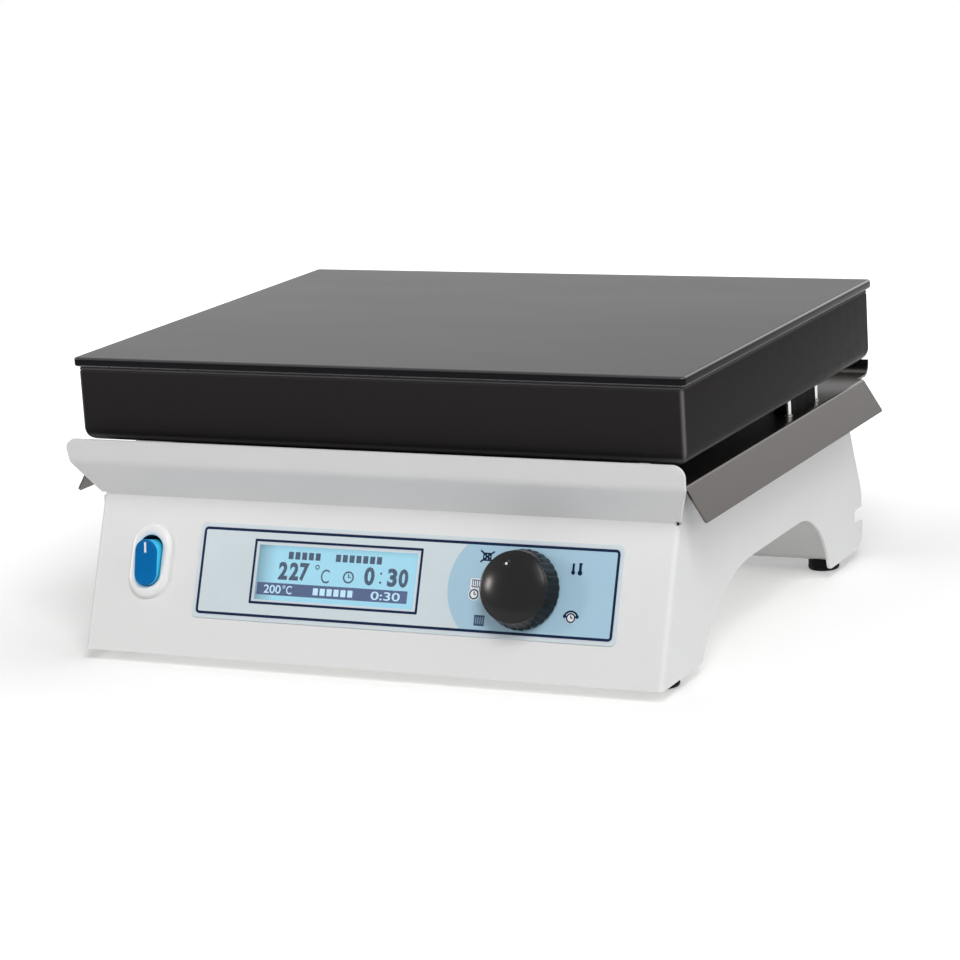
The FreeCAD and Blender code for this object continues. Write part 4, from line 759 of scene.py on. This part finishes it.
def plate_skin():
    """Glass plate: bevelled top edge, upright side and a rounder polished edge below, whose
    lighter colour is a painted highlight.
    """
    low, high = corners_of("glass_plate")
    down, inward = quarter(1.1)
    steps = [(100, low[2]), (1.8, low[2])]
    steps += [(side, low[2] + fall) for side, fall in zip(inward[::-1], down[::-1])]
    steps += [(0, high[2] - 0.75), (0.12, high[2] - 0.4), (0.4, high[2] - 0.12),
              (0.75, high[2]), (1.6, high[2]), (100, high[2])]
    return pressed(steps, low, high, 2)


def pan_skin():
    """Heater box: a pressed tray with a wide bend at its floor and a rim that turns in. Its
    painted highlight share is that of the upright corners, of the bend and of the rim, each a bell
    of its distance."""
    low, high = corners_of("heater_pan")
    outer = [(inset, low[2] + level) for inset, level in zip(*quarter(6, 13))]
    inner = [(1 + inset, low[2] + 1 + level) for inset, level in zip(*quarter(5, 7))]
    rim = [(inset, high[2] - level) for level, inset in zip(*quarter(0.9))]
    steps = [(100, low[2] + 1), *inner, (1, high[2] - 1), (9, high[2] - 1), (9, high[2]),
             (1.6, high[2]), *rim, (0, high[2] - 2), (0, low[2] + 7), *outer[::-1], (100, low[2])]
    inset, level = np.array(steps).T
    folds = np.maximum(np.exp(-((level - low[2] - 2.2) / 0.9) ** 2),
                       np.exp(-((level - high[2] + 0.4) / 0.5) ** 2))
    turn = np.exp(-((np.arange(BOX_AROUND) % (BOX_STEPS + 1) - BOX_STEPS / 2) / 1.6) ** 2)
    highlight_share = np.maximum(folds[:, None] * np.ones(BOX_AROUND), (inset < 5)[:, None] * turn)
    return pressed(steps, low, high, 2), [*highlight_share.ravel(), 0, 0]


def pin_skins():
    """Round pins between shield and heater box, with a flange at each end."""
    low, high = corners_of("edge_pins")
    inset, tall = 1.6, high[2] - low[2]
    profile = [(0.3, 0), (1.6, 0), (1.6, 0.5), (1.15, 0.8), (1.15, tall - 0.8), (1.6, tall - 0.5),
               (1.6, tall), (0.3, tall)]
    return [turned(profile, (x, y, low[2]), 24)
            for x in (low[0] + inset, high[0] - inset) for y in (low[1] + inset, high[1] - inset)]


glass = piece("plate_glass", [plate_skin()], finishes["glass_ceramic"].material,
              stands_for=("glass_plate",), crease=40)
# Lower arris of the glass in lighter grey: painted highlight.
second_finish(glass, painted_edge_glint.material, slice(BOX_AROUND * 2, BOX_AROUND * 5))
second_finish(glass, polished_edge.material, slice(BOX_AROUND * 7, BOX_AROUND * 10))
pan_shape, pan_highlight_share = pan_skin()
# The pan's lighter corners, bend and rim are painted highlight.
piece("pan_shell", [pan_shape], finishes["black_enamel"].material,
      stands_for=("heater_pan",), crease=40, highlight_share=pan_highlight_share)
piece("gap_pins", pin_skins(), finishes["zinc_steel"].material,
      stands_for=("edge_pins",), crease=50)


# Feet and small screws

def foot_skin(middle):
    """Rubber foot: round bottom edge, a slightly waisted side and a deep recess for its screw."""
    return turned([(0.4, 2.4), (3.0, 2.4), (3.15, 2.2), (3.3, 0.25), (3.6, 0.03), (5.9, 0.03),
                   (6.5, 0.2), (6.9, 0.7), (7.0, 1.3), (6.85, 2.6), (6.8, 4.2), (6.9, 5.17),
                   (3, 5.17)], middle)


def foot_screw(middle):
    """Round screw head with a round drive pit, set in the foot's recess."""
    return turned([(0.3, 1.5), (0.9, 1.5), (0.95, 0.95), (1.9, 0.8), (2.5, 1.1), (2.7, 1.6),
                   (2.7, 2.5)], middle, 32)


def rear_screw(across, up, back):
    """Round screw head on a face that looks to the back: each radius stands out by a height."""
    radius, height = np.array([(0.2, 0.7), (0.9, 0.75), (0.95, 1.35), (1.9, 1.15), (2.6, 0.75),
                               (2.9, 0.2), (2.9, -0.3)]).T[:, :, None]
    turn = np.linspace(0, 2 * np.pi, 32, endpoint=False)
    return skin(np.stack(np.broadcast_arrays(across + radius * np.cos(turn), back + height,
                                             up + radius * np.sin(turn)), axis=-1))


foot_middles = []
for corner in ("front_left", "front_right", "rear_left", "rear_right"):
    x, y, _ = sum(corners_of("foot_" + corner)) / 2
    foot_middles.append((x, y, 0))
    piece("rubber_foot_" + corner, [foot_skin((x, y, 0))], finishes["foot_rubber"].material,
          stands_for=("foot_" + corner,), crease=60)
piece("foot_screw_heads", [foot_screw(middle) for middle in foot_middles],
      finishes["zinc_steel"].material)
INLET_SCREW_ASIDE = 18
inlet_low, inlet_high = corners_of("power_inlet")
inlet_across, _, inlet_up = (inlet_low + inlet_high) / 2
piece("inlet_screw_heads", [rear_screw(inlet_across + aside, inlet_up, inlet_high[1])
                            for aside in (-INLET_SCREW_ASIDE, INLET_SCREW_ASIDE)],
      finishes["zinc_steel"].material)


# Floor and light

def bench():
    """Pale floor that the camera sees as white, with the shadows kept. Its glow grows with the
    distance from the footprint, so that the weaker glow near the hot plate is a painted soft
    shadow."""
    mesh = bpy.data.meshes.new("bench_floor")
    mesh.from_pydata([(-2.5, -2.5, 0), (2.5, -2.5, 0), (2.5, 1, 0), (-2.5, 1, 0)], [],
                     [(0, 1, 2, 3)])
    floor = bpy.data.objects.new("bench_floor", mesh)
    scene.collection.objects.link(floor)
    finish = Finish("bench_floor", (0.8, 0.8, 0.8), 0.9, Specular_IOR_Level=0.0)
    tree = finish.tree
    seen = finish.add("ShaderNodeLightPath")
    glow = finish.add("ShaderNodeEmission")
    lit = finish.add("ShaderNodeMath", operation="MULTIPLY")
    beyond = finish.add("ShaderNodeVectorMath", operation="ABSOLUTE")
    finish.link(finish.place, beyond.inputs[0])
    outside = finish.add("ShaderNodeVectorMath", operation="SUBTRACT")
    outside.inputs[1].default_value = (0.14, 0.12, 0)
    finish.link(beyond.outputs["Vector"], outside.inputs[0])
    clear = finish.add("ShaderNodeVectorMath", operation="MAXIMUM")
    finish.link(outside.outputs["Vector"], clear.inputs[0])
    away = finish.add("ShaderNodeVectorMath", operation="LENGTH")
    finish.link(clear.outputs["Vector"], away.inputs[0])
    # Weaker glow near the footprint: painted shadow round the hot plate.
    finish.link(finish.spread(away.outputs["Value"], 0.3, 1.0, 0.0, 0.34), lit.inputs[1])
    mirrored = finish.add("ShaderNodeMath", operation="MULTIPLY_ADD")
    mirrored.inputs[1].default_value = 0.8
    finish.link(seen.outputs["Is Glossy Ray"], mirrored.inputs[0])
    finish.link(lit.outputs["Value"], mirrored.inputs[2])
    finish.link(seen.outputs["Is Camera Ray"], lit.inputs[0])
    finish.link(mirrored.outputs["Value"], glow.inputs["Strength"])
    both = finish.add("ShaderNodeAddShader")
    finish.link(finish.shader.outputs["BSDF"], both.inputs[0])
    finish.link(glow.outputs["Emission"], both.inputs[1])
    finish.link(both.outputs["Shader"], tree.nodes["Material Output"].inputs["Surface"])
    mesh.materials.append(finish.material)


def room():
    """Even surroundings: white where the camera or a reflection sees them, softer as a light."""
    world = bpy.data.worlds.new("room")
    scene.world = world
    world.use_nodes = True
    tree = world.node_tree
    seen = tree.nodes.new("ShaderNodeLightPath")
    most = tree.nodes.new("ShaderNodeMath")
    most.operation = "MAXIMUM"
    tree.links.new(seen.outputs["Is Camera Ray"], most.inputs[0])
    either = tree.nodes.new("ShaderNodeMath")
    either.operation = "MAXIMUM"
    tree.links.new(seen.outputs["Is Glossy Ray"], either.inputs[0])
    tree.links.new(seen.outputs["Is Transmission Ray"], either.inputs[1])
    tree.links.new(either.outputs["Value"], most.inputs[1])
    strength = tree.nodes.new("ShaderNodeMapRange")
    strength.inputs["To Min"].default_value = 0.1
    strength.inputs["To Max"].default_value = 1.0
    tree.links.new(most.outputs["Value"], strength.inputs["Value"])
    background = tree.nodes["Background"]
    background.inputs["Color"].default_value = (1, 1, 1, 1)
    tree.links.new(strength.outputs["Result"], background.inputs["Strength"])


def soft_box(name, place, aim, size, power, colour=(1, 1, 1)):
    """Square soft light that looks from its place to a point."""
    lamp = bpy.data.lights.new(name, "AREA")
    lamp.color = colour
    lamp.size = size
    lamp.energy = power
    light = bpy.data.objects.new(name, lamp)
    light.location = place
    light.rotation_euler = (Vector(aim) - Vector(place)).to_track_quat("-Z", "Y").to_euler()
    scene.collection.objects.link(light)


bench()
room()
soft_box("soft_key", (0.8, -1.1, 1.5), (0, 0, 0.05), 0.9, 22)
soft_box("soft_right", (1.5, -0.2, 0.8), (0, 0, 0.05), 0.9, 5.8)
soft_box("soft_back", (0.3, 1.4, 0.9), (0, 0, 0.05), 1.0, 4.2)
soft_box("small_left", (-1.0, -0.74, 0.46), (0, 0, 0.05), 0.2, 3.2, (1, 0.94, 0.92))
